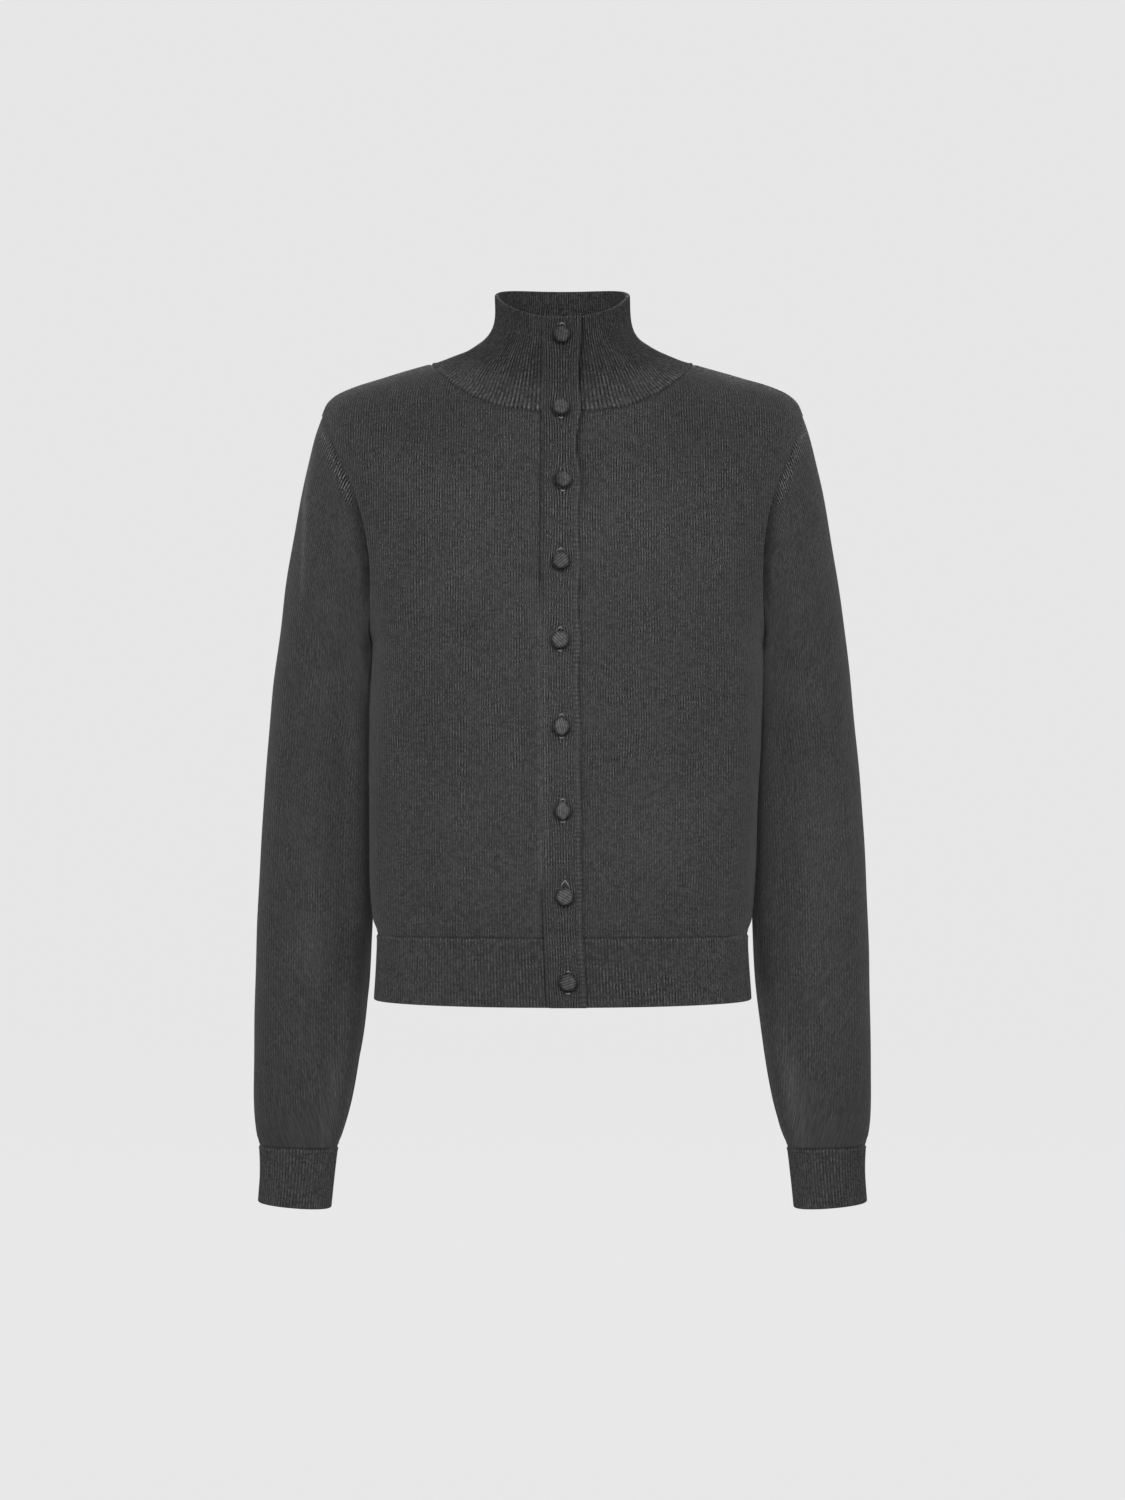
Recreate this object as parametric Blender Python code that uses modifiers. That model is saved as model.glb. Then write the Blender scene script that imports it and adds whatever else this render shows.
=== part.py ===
"""Funnel-neck button cardigan in fine charcoal knit, in the hollow shape it has when worn.

Each piece that a knitwear maker knits and links on is one closed solid: two fronts, a back, two
sleeves, a ribbed collar, hem and cuffs, a buttonhole band over a button band, and nine covered
buttons. Metres, +Z up, +X to the wearer's left, -Y in front of the wearer. The origin is the middle
of the neck at the height where the collar seam crosses the shoulders, where the wearer carries it.

The torso is a stack of rows. A row goes once round the body: turn 0 is the centre front, 1 the left
side, 2 the centre back, 3 the right side and 4 the centre front again. Whole row numbers are the
rows of the tables below, from the hem, 0, to the top of the collar, 19, and the form between them is
a smooth curve. A sleeve is a stack of rings, and its ring 0 is the armhole.
"""

import functools
from collections import namedtuple

import bmesh
import bpy
import numpy as np
from mathutils import Vector

MM = 0.001

# ------------------------------------------------------------------ driving dimensions, in metres
CLOTH = 2.0 * MM            # plain knit of the fronts, back and sleeves
RIB = 2.6 * MM              # ribbed knit of the hem, cuffs and collar
BAND = 2.0 * MM             # doubled front bands
SEAM_GAP = 0.3 * MM         # between two linked pieces
ARMHOLE_GAP = 0.5 * MM      # between a sleeve's head and the body
BAND_WIDTH = 30.0 * MM      # buttonhole band, seam to free edge
UNDER_BAND = (-11.2 * MM, 9.8 * MM)  # button band's edges, hidden under it, from the button line
BAND_AIR = 0.5 * MM         # between the two bands
BAND_LIFT = BAND + BAND_AIR   # the buttonhole band rides this much over the button band
BAND_STEP = 3.2 * MM        # width over which it climbs from its seam

SWAY = 4.2 * MM             # the sides hang this far to the wearer's left at the underarms
SWAY_FROM_ROW = 4           # and the sway fades out down to this row
SWAY_TO_RING = 8            # and down to this ring of the sleeves

BUTTON_RADIUS = 6.7 * MM
BUTTON_HEIGHT = 4.6 * MM
SHANK_RADIUS = 0.6 * MM
BUTTONHOLE_LENGTH = 15.5 * MM
BUTTONHOLE_WIDTH = 1.9 * MM

# ------------------------------------------------------------------ the torso's form, in millimetres
# Height and depth of each row at the centre front and centre back. square is the exponent of its
# superellipse, 2 for an ellipse. lift is how late the row rises to its side, tilt is its slope there,
# rising to the back, and band is how far the button line sits to the wearer's left of the middle.
Centre = namedtuple("Centre", "row front_z front_y back_z back_y square lift tilt band")
CENTRE = (
    Centre(0, -510, -110, -510, 95, 2.35, 2.0, 0, 3.6),
    Centre(1, -484, -111, -484, 96, 2.35, 2.0, 0, 2.4),
    Centre(2, -455.5, -111.5, -456, 97, 2.35, 2.0, 0, 1.2),
    Centre(3, -443, -115.5, -443, 100.5, 2.35, 2.0, 0, 0.7),
    Centre(4, -415, -118.5, -415, 101, 2.35, 2.0, 0, 0.0),
    Centre(5, -360, -121, -360, 99, 2.35, 2.0, 0, -0.8),
    Centre(6, -300, -125.5, -300, 98.5, 2.35, 2.0, 0, -1.3),
    Centre(7, -250, -128.5, -250, 101.5, 2.35, 2.0, 0, -1.5),
    Centre(8, -222, -129, -222, 104, 2.3, 2.0, 0, -1.5),
    Centre(9, -188, -127, -186, 105.5, 2.25, 2.0, 0, -1.4),
    Centre(10, -154, -121.5, -150, 105, 2.17, 2.0, 0, -1.2),
    Centre(11, -122, -114, -114, 102, 2.08, 2.1, 0, -1.0),
    Centre(12, -94, -105.5, -80, 97, 2.0, 2.2, 0, -0.9),
    Centre(13, -74, -98.5, -52, 90.5, 1.97, 2.4, 0, -0.8),
    Centre(14, -58, -93, -28, 82, 1.98, 2.7, 0, -0.8),
    Centre(15, -45.5, -89, -8, 74, 2.0, 2.9, 0.03, -0.8),
    Centre(16, -24, -80.5, 12, 66.5, 2.0, 2.6, 0.1, -0.8),
    Centre(17, -4, -73, 30, 60, 2.0, 2.3, 0.18, -0.8),
    Centre(18, 12, -67.5, 45, 55.5, 2.0, 2.1, 0.24, -0.8),
    Centre(19, 30, -63, 62, 51, 2.0, 2.0, 0.27, -0.8),
)

# The left side of each row: up the side seam to the underarm, then from the shoulder's point along
# the shoulder seam and up the collar's side.
Side = namedtuple("Side", "row x y z")
SIDE_SEAM = (
    Side(0, 150.0, -12, -508.5),
    Side(1, 148.6, -12, -483),
    Side(2, 147.4, -12, -456),
    Side(3, 151.0, -13, -443),
    Side(4, 153.4, -14, -415),
    Side(5, 154.6, -15, -360),
    Side(6, 155.4, -16, -300),
    Side(7, 155.8, -14, -255),
    Side(8, 155.6, -4, -225),
)
SHOULDER_AND_NECK = (
    Side(12, 192.0, 7, -42),
    Side(12.4, 188.4, 7, -33.4),
    Side(12.8, 182.0, 7, -27.0),
    Side(13.4, 167.5, 6.5, -20),
    Side(14.2, 139.5, 5, -11.6),
    Side(15, 105.5, 2.5, -2),
    Side(16, 87.0, 1.5, 4.6),
    Side(17, 71.0, 0, 11.6),
    Side(17.6, 62.0, -1, 17.6),
    Side(18, 57.0, -2, 24),
    Side(18.5, 53.8, -3, 35),
    Side(19, 53.8, -5, 53.5),
)

# The left sleeve's rings. outer is a ring's top or outside, inner its underarm side, y the middle of
# its depth, lean how much further back the outer point is, depth half its front-to-back size, and
# bow how far its front and back are pulled in towards the body.
Ring = namedtuple("Ring", "outer_x outer_z inner_x inner_z y lean depth bow square")
SLEEVE = (
    Ring(192.0, -42, 155.6, -225, 1.5, 5.5, 52, 15.4, 2.0),
    Ring(198.0, -59, 157.0, -228.5, 3, 5, 53.5, 11.5, 2.02),
    Ring(203.6, -82, 157.4, -233, 5, 4, 55, 7, 2.05),
    Ring(210.2, -112, 157.0, -241, 8, 3, 56.5, 4, 2.1),
    Ring(217.0, -149, 156.2, -253, 12, 2, 57.5, 1.5, 2.15),
    Ring(223.6, -190, 155.2, -271, 16, 1, 57.5, 0.5, 2.15),
    Ring(229.6, -236, 154.4, -297, 20.5, 0, 57, 0, 2.15),
    Ring(235.6, -290, 153.4, -332, 25, 0, 57, 0, 2.15),
    Ring(241.2, -354, 152.8, -379, 30, 0, 56, 0, 2.15),
    Ring(245.2, -422, 152.8, -434, 33, 0, 54.5, 0, 2.15),
    Ring(247.8, -490, 155.6, -493, 33, 0, 51.5, 0, 2.15),
    Ring(248.7, -545, 161.6, -545, 31, 0, 48, 0, 2.15),
    Ring(248.8, -585, 168.4, -585, 27, 0, 44, 0, 2.1),
    Ring(247.9, -606, 173.2, -606, 24, 0, 40, 0, 2.1),
    Ring(246.2, -618.5, 177.2, -619, 22, 0, 36, 0, 2.1),
    Ring(244.0, -627, 180.6, -628.5, 21, 0, 33, 0, 2.1),
    Ring(243.0, -649, 183.6, -653, 18, 0, 31.5, 0, 2.1),
    Ring(244.4, -672.5, 186.0, -677.5, 15, 0, 31.5, 0, 2.1),
)

# Where each button's centre sits on the form, from the collar down, and how far the buttonhole
# band's free edge shrinks back between it and the next one below, in millimetres.
Button = namedtuple("Button", "x z shrink")
BUTTONS = (
    Button(-0.4, 15.0, 1.6),
    Button(-1.1, -44.0, 3.6),
    Button(0.2, -101.5, 2.0),
    Button(-1.2, -164.5, 1.5),
    Button(-1.7, -225.0, 1.2),
    Button(-0.7, -291.5, 0.5),
    Button(0.3, -356.5, 0.5),
    Button(1.9, -423.0, 0.6),
    Button(4.4, -490.0, 0.0),
)

HEM_ROW, RIB_SEAM_ROW, FOLD_ROW, UNDERARM_ROW, TIP_ROW, COLLAR_ROW, TOP_ROW = 0, 2, 3, 8, 12, 15, 19
CUFF_RING, WRIST_RING = 15, 17
FRONT, LEFT_SIDE, BACK, RIGHT_SIDE, ROUND = 0, 1, 2, 3, 4

# ------------------------------------------------------------------ fineness of the facets
ARMHOLE_STEPS = 8            # rows between underarm and shoulder point, and points on half a ring
QUARTER_COLUMNS = 9          # across a front, half the back, and a quarter of the collar
ARC_SAMPLES = 65
SLOPE_STEP = 1e-3            # step in rows, rings or turns when a surface's slope is measured
BEHIND = 1e-9                # turns past a side, where a row's place belongs to the back
BUTTON_STEPS = 14

# Colours are linear, as the shader takes them.
KNIT_COLOUR = (0.047, 0.047, 0.048, 1.0)
RIB_COLOUR = (0.042, 0.042, 0.043, 1.0)
BUTTON_COLOUR = (0.066, 0.066, 0.067, 1.0)


def through(table, at):
    """Every column of a table but its first, at a place between its rows, on one smooth curve."""
    rows = np.asarray(table, float)
    knots, values = rows[:, 0], rows[:, 1:]
    slopes = np.gradient(values, knots, axis=0)
    k = int(np.clip(np.searchsorted(knots, at, side="right") - 1, 0, len(knots) - 2))
    width = knots[k + 1] - knots[k]
    t = (at - knots[k]) / width
    start, end = 2 * t**3 - 3 * t**2 + 1, 3 * t**2 - 2 * t**3
    start_slope, end_slope = t**3 - 2 * t**2 + t, t**3 - t**2
    bend = width * (start_slope * slopes[k] + end_slope * slopes[k + 1])
    return start * values[k] + end * values[k + 1] + bend


def armhole_angle(row):
    """Round the armhole, from 0 at the shoulder's point to pi at the underarm."""
    return np.pi * (TIP_ROW - row) / (TIP_ROW - UNDERARM_ROW)


def ring_point(ring, angle, front):
    """A point on one of the left sleeve's rings. angle is 0 on its outside and pi at the underarm."""
    across = np.sign(np.cos(angle)) * abs(np.cos(angle)) ** (2 / ring.square)
    deep = abs(np.sin(angle)) ** (2 / ring.square)
    middle_x, half_x = (ring.outer_x + ring.inner_x) / 2, (ring.outer_x - ring.inner_x) / 2
    middle_z, half_z = (ring.outer_z + ring.inner_z) / 2, (ring.outer_z - ring.inner_z) / 2
    bow = ring.bow * deep**3
    forward = -ring.depth * deep if front else ring.depth * deep
    return MM * np.array((
        middle_x + half_x * across - bow,
        ring.y + ring.lean * across + forward,
        middle_z + half_z * across,
    ))


def side_of(row):
    """Where a row meets its side: a seam, or the armhole's straight line from underarm to shoulder."""
    if row <= UNDERARM_ROW:
        return MM * through(SIDE_SEAM, row)
    if row >= TIP_ROW:
        return MM * through(SHOULDER_AND_NECK, row)
    head = SLEEVE[0]._replace(depth=0, bow=0)
    return ring_point(head, armhole_angle(row), True)


def sway(row):
    """How far the sides of a row hang to the wearer's left."""
    if row >= UNDERARM_ROW:
        return SWAY * (1 - np.cos(armhole_angle(min(row, TIP_ROW)))) / 2
    share = max(row - SWAY_FROM_ROW, 0) / (UNDERARM_ROW - SWAY_FROM_ROW)
    return SWAY * share**2 * (3 - 2 * share)


def edge_of(row, front):
    """Where the left front or the left half of the back ends in a row."""
    if UNDERARM_ROW < row < TIP_ROW:
        return ring_point(SLEEVE[0], armhole_angle(row), front)
    return side_of(row)


@functools.lru_cache(maxsize=None)
def quarter(row, front):
    """Points along a row from its centre to its left edge, and how far along each one is."""
    centre = Centre(row, *through(CENTRE, row))
    middle_z, middle_y = (centre.front_z, centre.front_y) if front else (centre.back_z, centre.back_y)
    middle_z, middle_y = MM * middle_z, MM * middle_y
    side_y, edge = side_of(row)[1], edge_of(row, front)
    depth = middle_y - side_y
    reach = (edge[1] - side_y) / depth
    corner_x = edge[0] / (1 - reach**centre.square) ** (1 / centre.square)
    last = np.arcsin(min(1.0, (edge[0] / corner_x) ** (centre.square / 2)))
    angle = np.linspace(0, last, ARC_SAMPLES)
    x = corner_x * np.sin(angle) ** (2 / centre.square)
    y = side_y + depth * np.cos(angle) ** (2 / centre.square)
    tilted = edge[2] + centre.tilt * (y - side_y)
    z = tilted + (middle_z - edge[2] - centre.tilt * depth) * (1 - (x / edge[0]) ** centre.lift)
    points = np.stack((x, y, z), axis=1)
    points[-1] = edge
    lengths = np.linalg.norm(np.diff(points, axis=0), axis=1)
    return points, np.concatenate(((0.0,), np.cumsum(lengths)))


def torso(row, turn):
    """A point on the outside of the torso's form."""
    turn %= ROUND
    mirrored = turn > BACK
    if mirrored:
        turn = ROUND - turn
    front = turn <= LEFT_SIDE
    points, along = quarter(round(row, 6), front)
    share = turn if front else BACK - turn
    place = np.array([np.interp(share * along[-1], along, points[:, k]) for k in range(3)])
    swayed = sway(row) * (place[0] / points[-1, 0]) ** 2
    place[0] = swayed - place[0] if mirrored else swayed + place[0]
    return place


def torso_normal(row, turn):
    """The way out of the torso's form."""
    low, high = max(row - SLOPE_STEP, HEM_ROW), min(row + SLOPE_STEP, TOP_ROW)
    up = torso(high, turn) - torso(low, turn)
    round_it = torso(row, turn + SLOPE_STEP) - torso(row, turn - SLOPE_STEP)
    out = np.cross(round_it, up)
    return out / np.linalg.norm(out)


def front_turn(row, distance):
    """The turn that is so far, in metres, to the wearer's left of the centre front."""
    return distance / quarter(round(row, 6), True)[1][-1]


def band_middle(row):
    """How far the button line sits to the wearer's left of the centre front, in metres."""
    return MM * Centre(row, *through(CENTRE, row)).band


@functools.lru_cache(maxsize=None)
def sleeve_ring(ring, angle, front):
    """A point on the outside of the left sleeve's form, at any place between its rings."""
    places = [(k, *ring_point(row, angle, front)) for k, row in enumerate(SLEEVE)]
    return through(places, ring)


def sleeve(ring, turn):
    """The left sleeve by turns: 0 outside, 1 at the front, 2 at the underarm, 3 at the back."""
    turn %= ROUND
    front = turn <= 2
    return sleeve_ring(ring, round(np.pi / 2 * (turn if front else ROUND - turn), 9), front)


def sleeve_sway(ring, turn):
    """How far a place on a sleeve hangs to the wearer's left with the body's side."""
    share = 1 - min(ring / SWAY_TO_RING, 1)
    return SWAY * (1 - np.cos(np.pi / 2 * turn)) / 2 * share**2 * (3 - 2 * share)


def sleeve_normal(ring, turn):
    """The way out of the left sleeve's form."""
    low, high = max(ring - SLOPE_STEP, 0), min(ring + SLOPE_STEP, WRIST_RING)
    down = sleeve(high, turn) - sleeve(low, turn)
    round_it = sleeve(ring, turn + SLOPE_STEP) - sleeve(ring, turn - SLOPE_STEP)
    out = np.cross(round_it, down)
    return out / np.linalg.norm(out)


def armhole_normal(row, front):
    """The shared edge direction of the body and the sleeve's head, halfway between their surfaces.
    The front and the back share it too where they meet, at the underarm and the shoulder's point."""
    turn = 2 * armhole_angle(row) / np.pi
    on_sleeve = sleeve_normal(0, turn if front else ROUND - turn)
    ways = (-1, 1) if row in (UNDERARM_ROW, TIP_ROW) else ((-1,) if front else (1,))
    on_torso = sum(torso_normal(row, LEFT_SIDE + way * SLOPE_STEP) for way in ways) / len(ways)
    out = on_torso + on_sleeve
    return out / np.linalg.norm(out)


def edge_direction(row, turn):
    """The torso's normal, or the shared one where a panel ends at an armhole."""
    side = LEFT_SIDE if turn <= BACK else RIGHT_SIDE
    if UNDERARM_ROW <= row <= TIP_ROW and abs(turn - side) < 2 * SLOPE_STEP:
        front = (turn <= LEFT_SIDE) or (turn >= RIGHT_SIDE)
        out = armhole_normal(row, front)
        return out if side == LEFT_SIDE else out * (-1, 1, 1)
    return torso_normal(row, turn)


# ------------------------------------------------------------------ making solids
def material(name, colour, roughness):
    """A plain cloth finish."""
    made = bpy.data.materials.new(name)
    made.use_nodes = True
    shader = made.node_tree.nodes["Principled BSDF"]
    shader.inputs["Base Color"].default_value = colour
    shader.inputs["Roughness"].default_value = roughness
    shader.inputs["Metallic"].default_value = 0.0
    return made


def pulled_in(skin, closed):
    """A skin with its outermost rows and columns moved half a seam gap towards the next ones."""
    pairs = [((0,), (1,)), ((-1,), (-2,))]
    if not closed:
        pairs += [((slice(None), 0), (slice(None), 1)), ((slice(None), -1), (slice(None), -2))]
    for edge, inside in pairs:
        step = skin[inside] - skin[edge]
        skin[edge] += step / np.linalg.norm(step, axis=-1, keepdims=True) * SEAM_GAP / 2
    return skin


def cloth_wall(name, outer, inner, finish, closed=False, holes=()):
    """A closed wall between two skins of points in rows and columns. A closed one is a tube, and
    holes are cells, by row and column, that are left out of it."""
    outer, inner = pulled_in(outer, closed), pulled_in(inner, closed)
    rows, columns = outer.shape[:2]
    work = bmesh.new()
    bmesh.ops.create_grid(work, x_segments=columns - 1, y_segments=rows - 1, size=1)
    order = work.verts.layers.int.new("order")
    for k, vertex in enumerate(sorted(work.verts, key=lambda v: (round(v.co.y, 5), v.co.x))):
        vertex[order] = k
        vertex.co = outer[k // columns, k % columns]
    cells = {}
    for face in work.faces:
        row, column = divmod(min(v[order] for v in face.verts), columns)
        cells[row, column] = face
    bmesh.ops.delete(work, geom=[cells[hole] for hole in holes], context="FACES")
    if closed:
        bmesh.ops.remove_doubles(work, verts=work.verts, dist=MM / 1000)
    inside = bmesh.ops.extrude_face_region(work, geom=work.faces[:], use_keep_orig=True)
    for vertex in (item for item in inside["geom"] if isinstance(item, bmesh.types.BMVert)):
        row, column = divmod(vertex[order], columns)
        vertex.co = inner[row, column]
    bmesh.ops.recalc_face_normals(work, faces=work.faces)
    mesh = bpy.data.meshes.new(name)
    work.to_mesh(mesh)
    work.free()
    return placed(name, mesh, finish)


def placed(name, mesh, finish):
    """A smooth-shaded object in the cardigan's collection."""
    mesh.shade_smooth()
    mesh.set_sharp_from_angle(angle=np.radians(50))
    mesh.materials.append(finish)
    made = bpy.data.objects.new(name, mesh)
    bpy.data.collections["Button cardigan"].objects.link(made)
    return made


def torso_panel(name, rows, turns_of, thickness, finish):
    """A wall of the torso's form. turns_of gives a row's places from one edge to the other."""
    outer = np.array([[torso(row, turn) for turn in turns_of(row)] for row in rows])
    ways = np.array([[edge_direction(row, turn) for turn in turns_of(row)] for row in rows])
    return cloth_wall(name, outer, outer - thickness * ways, finish)


def band_edge(row, left):
    """The turn at which a front ends at its band."""
    return front_turn(row, band_middle(row) + (UNDER_BAND[1] if left else -BAND_WIDTH / 2))


def front_turns(left):
    """Evenly spaced places across one front, from its band to its side."""
    def across(row):
        if left:
            return np.linspace(band_edge(row, True), LEFT_SIDE, QUARTER_COLUMNS + 1)
        return np.linspace(ROUND + band_edge(row, False), RIGHT_SIDE, QUARTER_COLUMNS + 1)
    return across


def back_turns(row):
    """Evenly spaced places across the back, from the left side to the right one."""
    return np.linspace(LEFT_SIDE + BEHIND, RIGHT_SIDE - BEHIND, 2 * QUARTER_COLUMNS + 1)


def collar_turns(row):
    """Places round the collar, from the left band by the back to the right band."""
    left, right = front_turns(True)(row), front_turns(False)(row)
    return np.concatenate((left[:-1], back_turns(row), right[-2::-1]))


def body_rows():
    """Rows of the fronts and back, from the rib seam to the collar seam."""
    below = (2, 3, 3.5, 4, 4.6, 5.3, 6, 6.6, 7.2)
    armholes = np.linspace(UNDERARM_ROW, TIP_ROW, ARMHOLE_STEPS + 1)
    above = (12.3, 12.6, 13, 13.5, 14.2, 15)
    return (*below, *armholes, *above)


def rib_rows():
    """Rows of the hem."""
    return np.linspace(HEM_ROW, RIB_SEAM_ROW, 4)


def collar_rows():
    """Rows of the collar, closer where it turns up from the shoulders."""
    return (15, 15.6, 16.2, 16.8, 17.3, 17.8, 18.3, 19)


def make_body(knit, rib):
    """The fronts, the back, their hem ribs and the collar."""
    body, hem = body_rows(), rib_rows()
    for left, side in ((True, "left"), (False, "right")):
        torso_panel(f"front_{side}", body, front_turns(left), CLOTH, knit)
        torso_panel(f"hem_rib_front_{side}", hem, front_turns(left), RIB, rib)
    torso_panel("back", body, back_turns, CLOTH, knit)
    torso_panel("hem_rib_back", hem, back_turns, RIB, rib)
    torso_panel("collar", collar_rows(), collar_turns, RIB, rib)


def sleeve_tube(name, rings, mirror, thickness, finish):
    """A length of sleeve as a closed tube. Its first ring may be the armhole."""
    turns = np.linspace(0, ROUND, 2 * ARMHOLE_STEPS + 1)
    outer = np.array([[sleeve(ring, turn) for turn in turns] for ring in rings])
    ways = np.array([[sleeve_normal(ring, turn) for turn in turns] for ring in rings])
    if rings[0] == 0:
        rows = [TIP_ROW - abs(2 - abs(turn - 2)) * (TIP_ROW - UNDERARM_ROW) / 2 for turn in turns]
        ways[0] = [armhole_normal(row, turn <= 2) for row, turn in zip(rows, turns)]
        head = SLEEVE[0]
        off_body = np.array((head.inner_z - head.outer_z, 0, head.outer_x - head.inner_x))
        outer[0] -= off_body / np.linalg.norm(off_body) * ARMHOLE_GAP
    inner = outer - thickness * ways
    if mirror:
        outer, inner = outer * (-1, 1, 1), inner * (-1, 1, 1)
    swayed = np.array([[sleeve_sway(ring, turn) for turn in turns] for ring in rings])
    outer[..., 0] += swayed
    inner[..., 0] += swayed
    return cloth_wall(name, outer, inner, finish, closed=True)


def make_sleeves(knit, rib):
    """Both sleeves, from armhole to cuff seam, and their cuffs."""
    arm = (0, 0.6, 1.3, 2, 3, 4, 5, 6, 7, 8, 9, 10, 11, 12, 13, 14, 15)
    cuff = np.linspace(CUFF_RING, WRIST_RING, 4)
    for mirror, side in ((False, "left"), (True, "right")):
        sleeve_tube(f"sleeve_{side}", arm, mirror, CLOTH, knit)
        sleeve_tube(f"cuff_{side}", cuff, mirror, RIB, rib)


# ------------------------------------------------------------------ front bands and buttons
@functools.lru_cache(maxsize=None)
def front_line():
    """Rows up the button line, how far each one is from the hem along the cloth, and its height."""
    rows = np.linspace(HEM_ROW, TOP_ROW, 20 * TOP_ROW + 1)
    places = np.array([torso(row, front_turn(row, band_middle(row))) for row in rows])
    lengths = np.linalg.norm(np.diff(places, axis=0), axis=1)
    return rows, np.concatenate(((0.0,), np.cumsum(lengths))), places[:, 2]


def row_at(length):
    """The row that is so far up the button line from the hem."""
    rows, along = front_line()[:2]
    return float(np.interp(length, along, rows))


@functools.lru_cache(maxsize=None)
def button_lengths():
    """How far up the button line each button's centre is, from the hem upwards."""
    along, heights = front_line()[1:]
    return np.interp([MM * button.z for button in reversed(BUTTONS)], heights, along)


def buttonhole_aside(length):
    """How far the line of buttonholes sits to the wearer's left of the band's middle."""
    asides = [
        MM * button.x - band_middle(row_at(place))
        for button, place in zip(reversed(BUTTONS), button_lengths())
    ]
    return np.interp(length, button_lengths(), asides)


@functools.lru_cache(maxsize=None)
def band_lengths():
    """Where a band's rows are: at each buttonhole's ends and middle, twice between two holes, and
    at the fold above the hem."""
    half = BUTTONHOLE_LENGTH / 2
    lengths = [0.0]
    for button in button_lengths():
        lengths += [*np.linspace(lengths[-1], button - half, 4)[1:], button, button + half]
    lengths = np.array([*lengths, front_line()[1][-1]])
    for row in (FOLD_ROW, RIB_SEAM_ROW):
        place = np.interp(row, *front_line()[:2])
        lengths[np.argmin(abs(lengths - place))] = place
    return lengths


def free_edge_shrink(length):
    """How far the buttonhole band's free edge shrinks back between two buttons, none at a button."""
    buttons = button_lengths()
    number = np.interp(length, buttons, range(len(buttons)))
    upper = BUTTONS[len(buttons) - 1 - int(np.ceil(number))]
    return MM * upper.shrink * (1 - np.cos(2 * np.pi * number)) / 2


def band_skins(columns_of, lift_of, thickness):
    """A band's two skins. Its columns are distances from the button line."""
    skins = []
    for depth in (0.0, thickness):
        skin = []
        for length in band_lengths():
            row = row_at(length)
            for across in columns_of(length):
                turn = front_turn(row, band_middle(row) + across)
                level = lift_of(across) - depth
                skin.append(torso(row, turn) + level * torso_normal(row, turn))
        skins.append(np.array(skin).reshape(len(band_lengths()), -1, 3))
    return skins


def make_bands(rib):
    """The button band, level with the fronts, and the buttonhole band that climbs over it."""
    half = BAND_WIDTH / 2
    under = (UNDER_BAND[0], 0.0, UNDER_BAND[1])
    outer, inner = band_skins(lambda length: under, lambda across: 0.0, BAND)
    cloth_wall("button_band", outer, inner, rib)

    slit = BUTTONHOLE_WIDTH / 2

    def columns(length):
        middle = buttonhole_aside(length)
        hole = (middle - slit, middle + slit)
        return -half, BAND_STEP - half, *hole, UNDER_BAND[1], half - free_edge_shrink(length)

    def lift(across):
        return BAND_LIFT * np.clip((across + half) / BAND_STEP, 0, 1)

    outer, inner = band_skins(columns, lift, BAND)
    holes = [
        (int(np.argmin(abs(band_lengths() - button))) - below, 2)
        for button in button_lengths()
        for below in (0, 1)
    ]
    cloth_wall("buttonhole_band", outer, inner, rib, holes=holes)


def button_profile():
    """Half the section of a domed button on its shank, from its crown out and down to the shank."""
    dome = np.radians((0, 22, 44, 64, 80, 90))
    crown = [(BUTTON_RADIUS * np.sin(a), BUTTON_HEIGHT * (0.3 + 0.7 * np.cos(a))) for a in dome]
    reach = -BAND_LIFT
    foot = [(0.86 * BUTTON_RADIUS, 0.0), (SHANK_RADIUS, 0.0), (SHANK_RADIUS, reach), (0.0, reach)]
    return crown + foot


def make_buttons(finish):
    """Nine buttons, each standing on the buttonhole band with its shank down through the hole."""
    profile = button_profile()
    lengths = reversed(button_lengths())
    for number, (button, length) in enumerate(zip(BUTTONS, lengths), start=1):
        mesh = bpy.data.meshes.new(f"button_{number}")
        work = bmesh.new()
        corners = [work.verts.new((x, 0.0, z)) for x, z in profile]
        for upper, lower in zip(corners, corners[1:]):
            work.edges.new((upper, lower))
        work.to_mesh(mesh)
        work.free()
        made = placed(f"button_{number}", mesh, finish)
        row = row_at(length)
        turn = front_turn(row, MM * button.x)
        out = torso_normal(row, turn)
        made.location = torso(row, turn) + (BAND_LIFT + SEAM_GAP) * out
        made.rotation_euler = Vector(out).to_track_quat("Z", "Y").to_euler()
        turned = made.modifiers.new("Turned", "SCREW")
        turned.steps = turned.render_steps = BUTTON_STEPS
        turned.use_merge_vertices = True
        turned.merge_threshold = MM / 20


def clear_scene():
    """Removes whatever the scene holds and makes the cardigan's collection."""
    for found in list(bpy.data.objects):
        bpy.data.objects.remove(found)
    bpy.context.scene.collection.children.link(bpy.data.collections.new("Button cardigan"))


def main():
    clear_scene()
    knit = material("Plain knit", KNIT_COLOUR, 0.92)
    rib = material("Rib knit", RIB_COLOUR, 0.92)
    covered = material("Covered button", BUTTON_COLOUR, 0.8)
    make_body(knit, rib)
    make_sleeves(knit, rib)
    make_bands(rib)
    make_buttons(covered)


main()
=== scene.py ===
"""Funnel-neck button cardigan in fine charcoal knit, finished for display.

The cloth follows one form: a torso made of rows from the hem, 0, to the top of the collar, 19, which
go once round the body in four turns (0 centre front, 1 left side, 2 centre back, 3 right side), and
sleeves made of rings from the armhole, 0, to the wrist, 17. Each knitted piece is a thin shell on that
form with its own ribs, seam grooves, stitches and soft folds. Metres, +Z up, +X to the wearer's left.
"""

from collections import namedtuple
from functools import lru_cache

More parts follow.
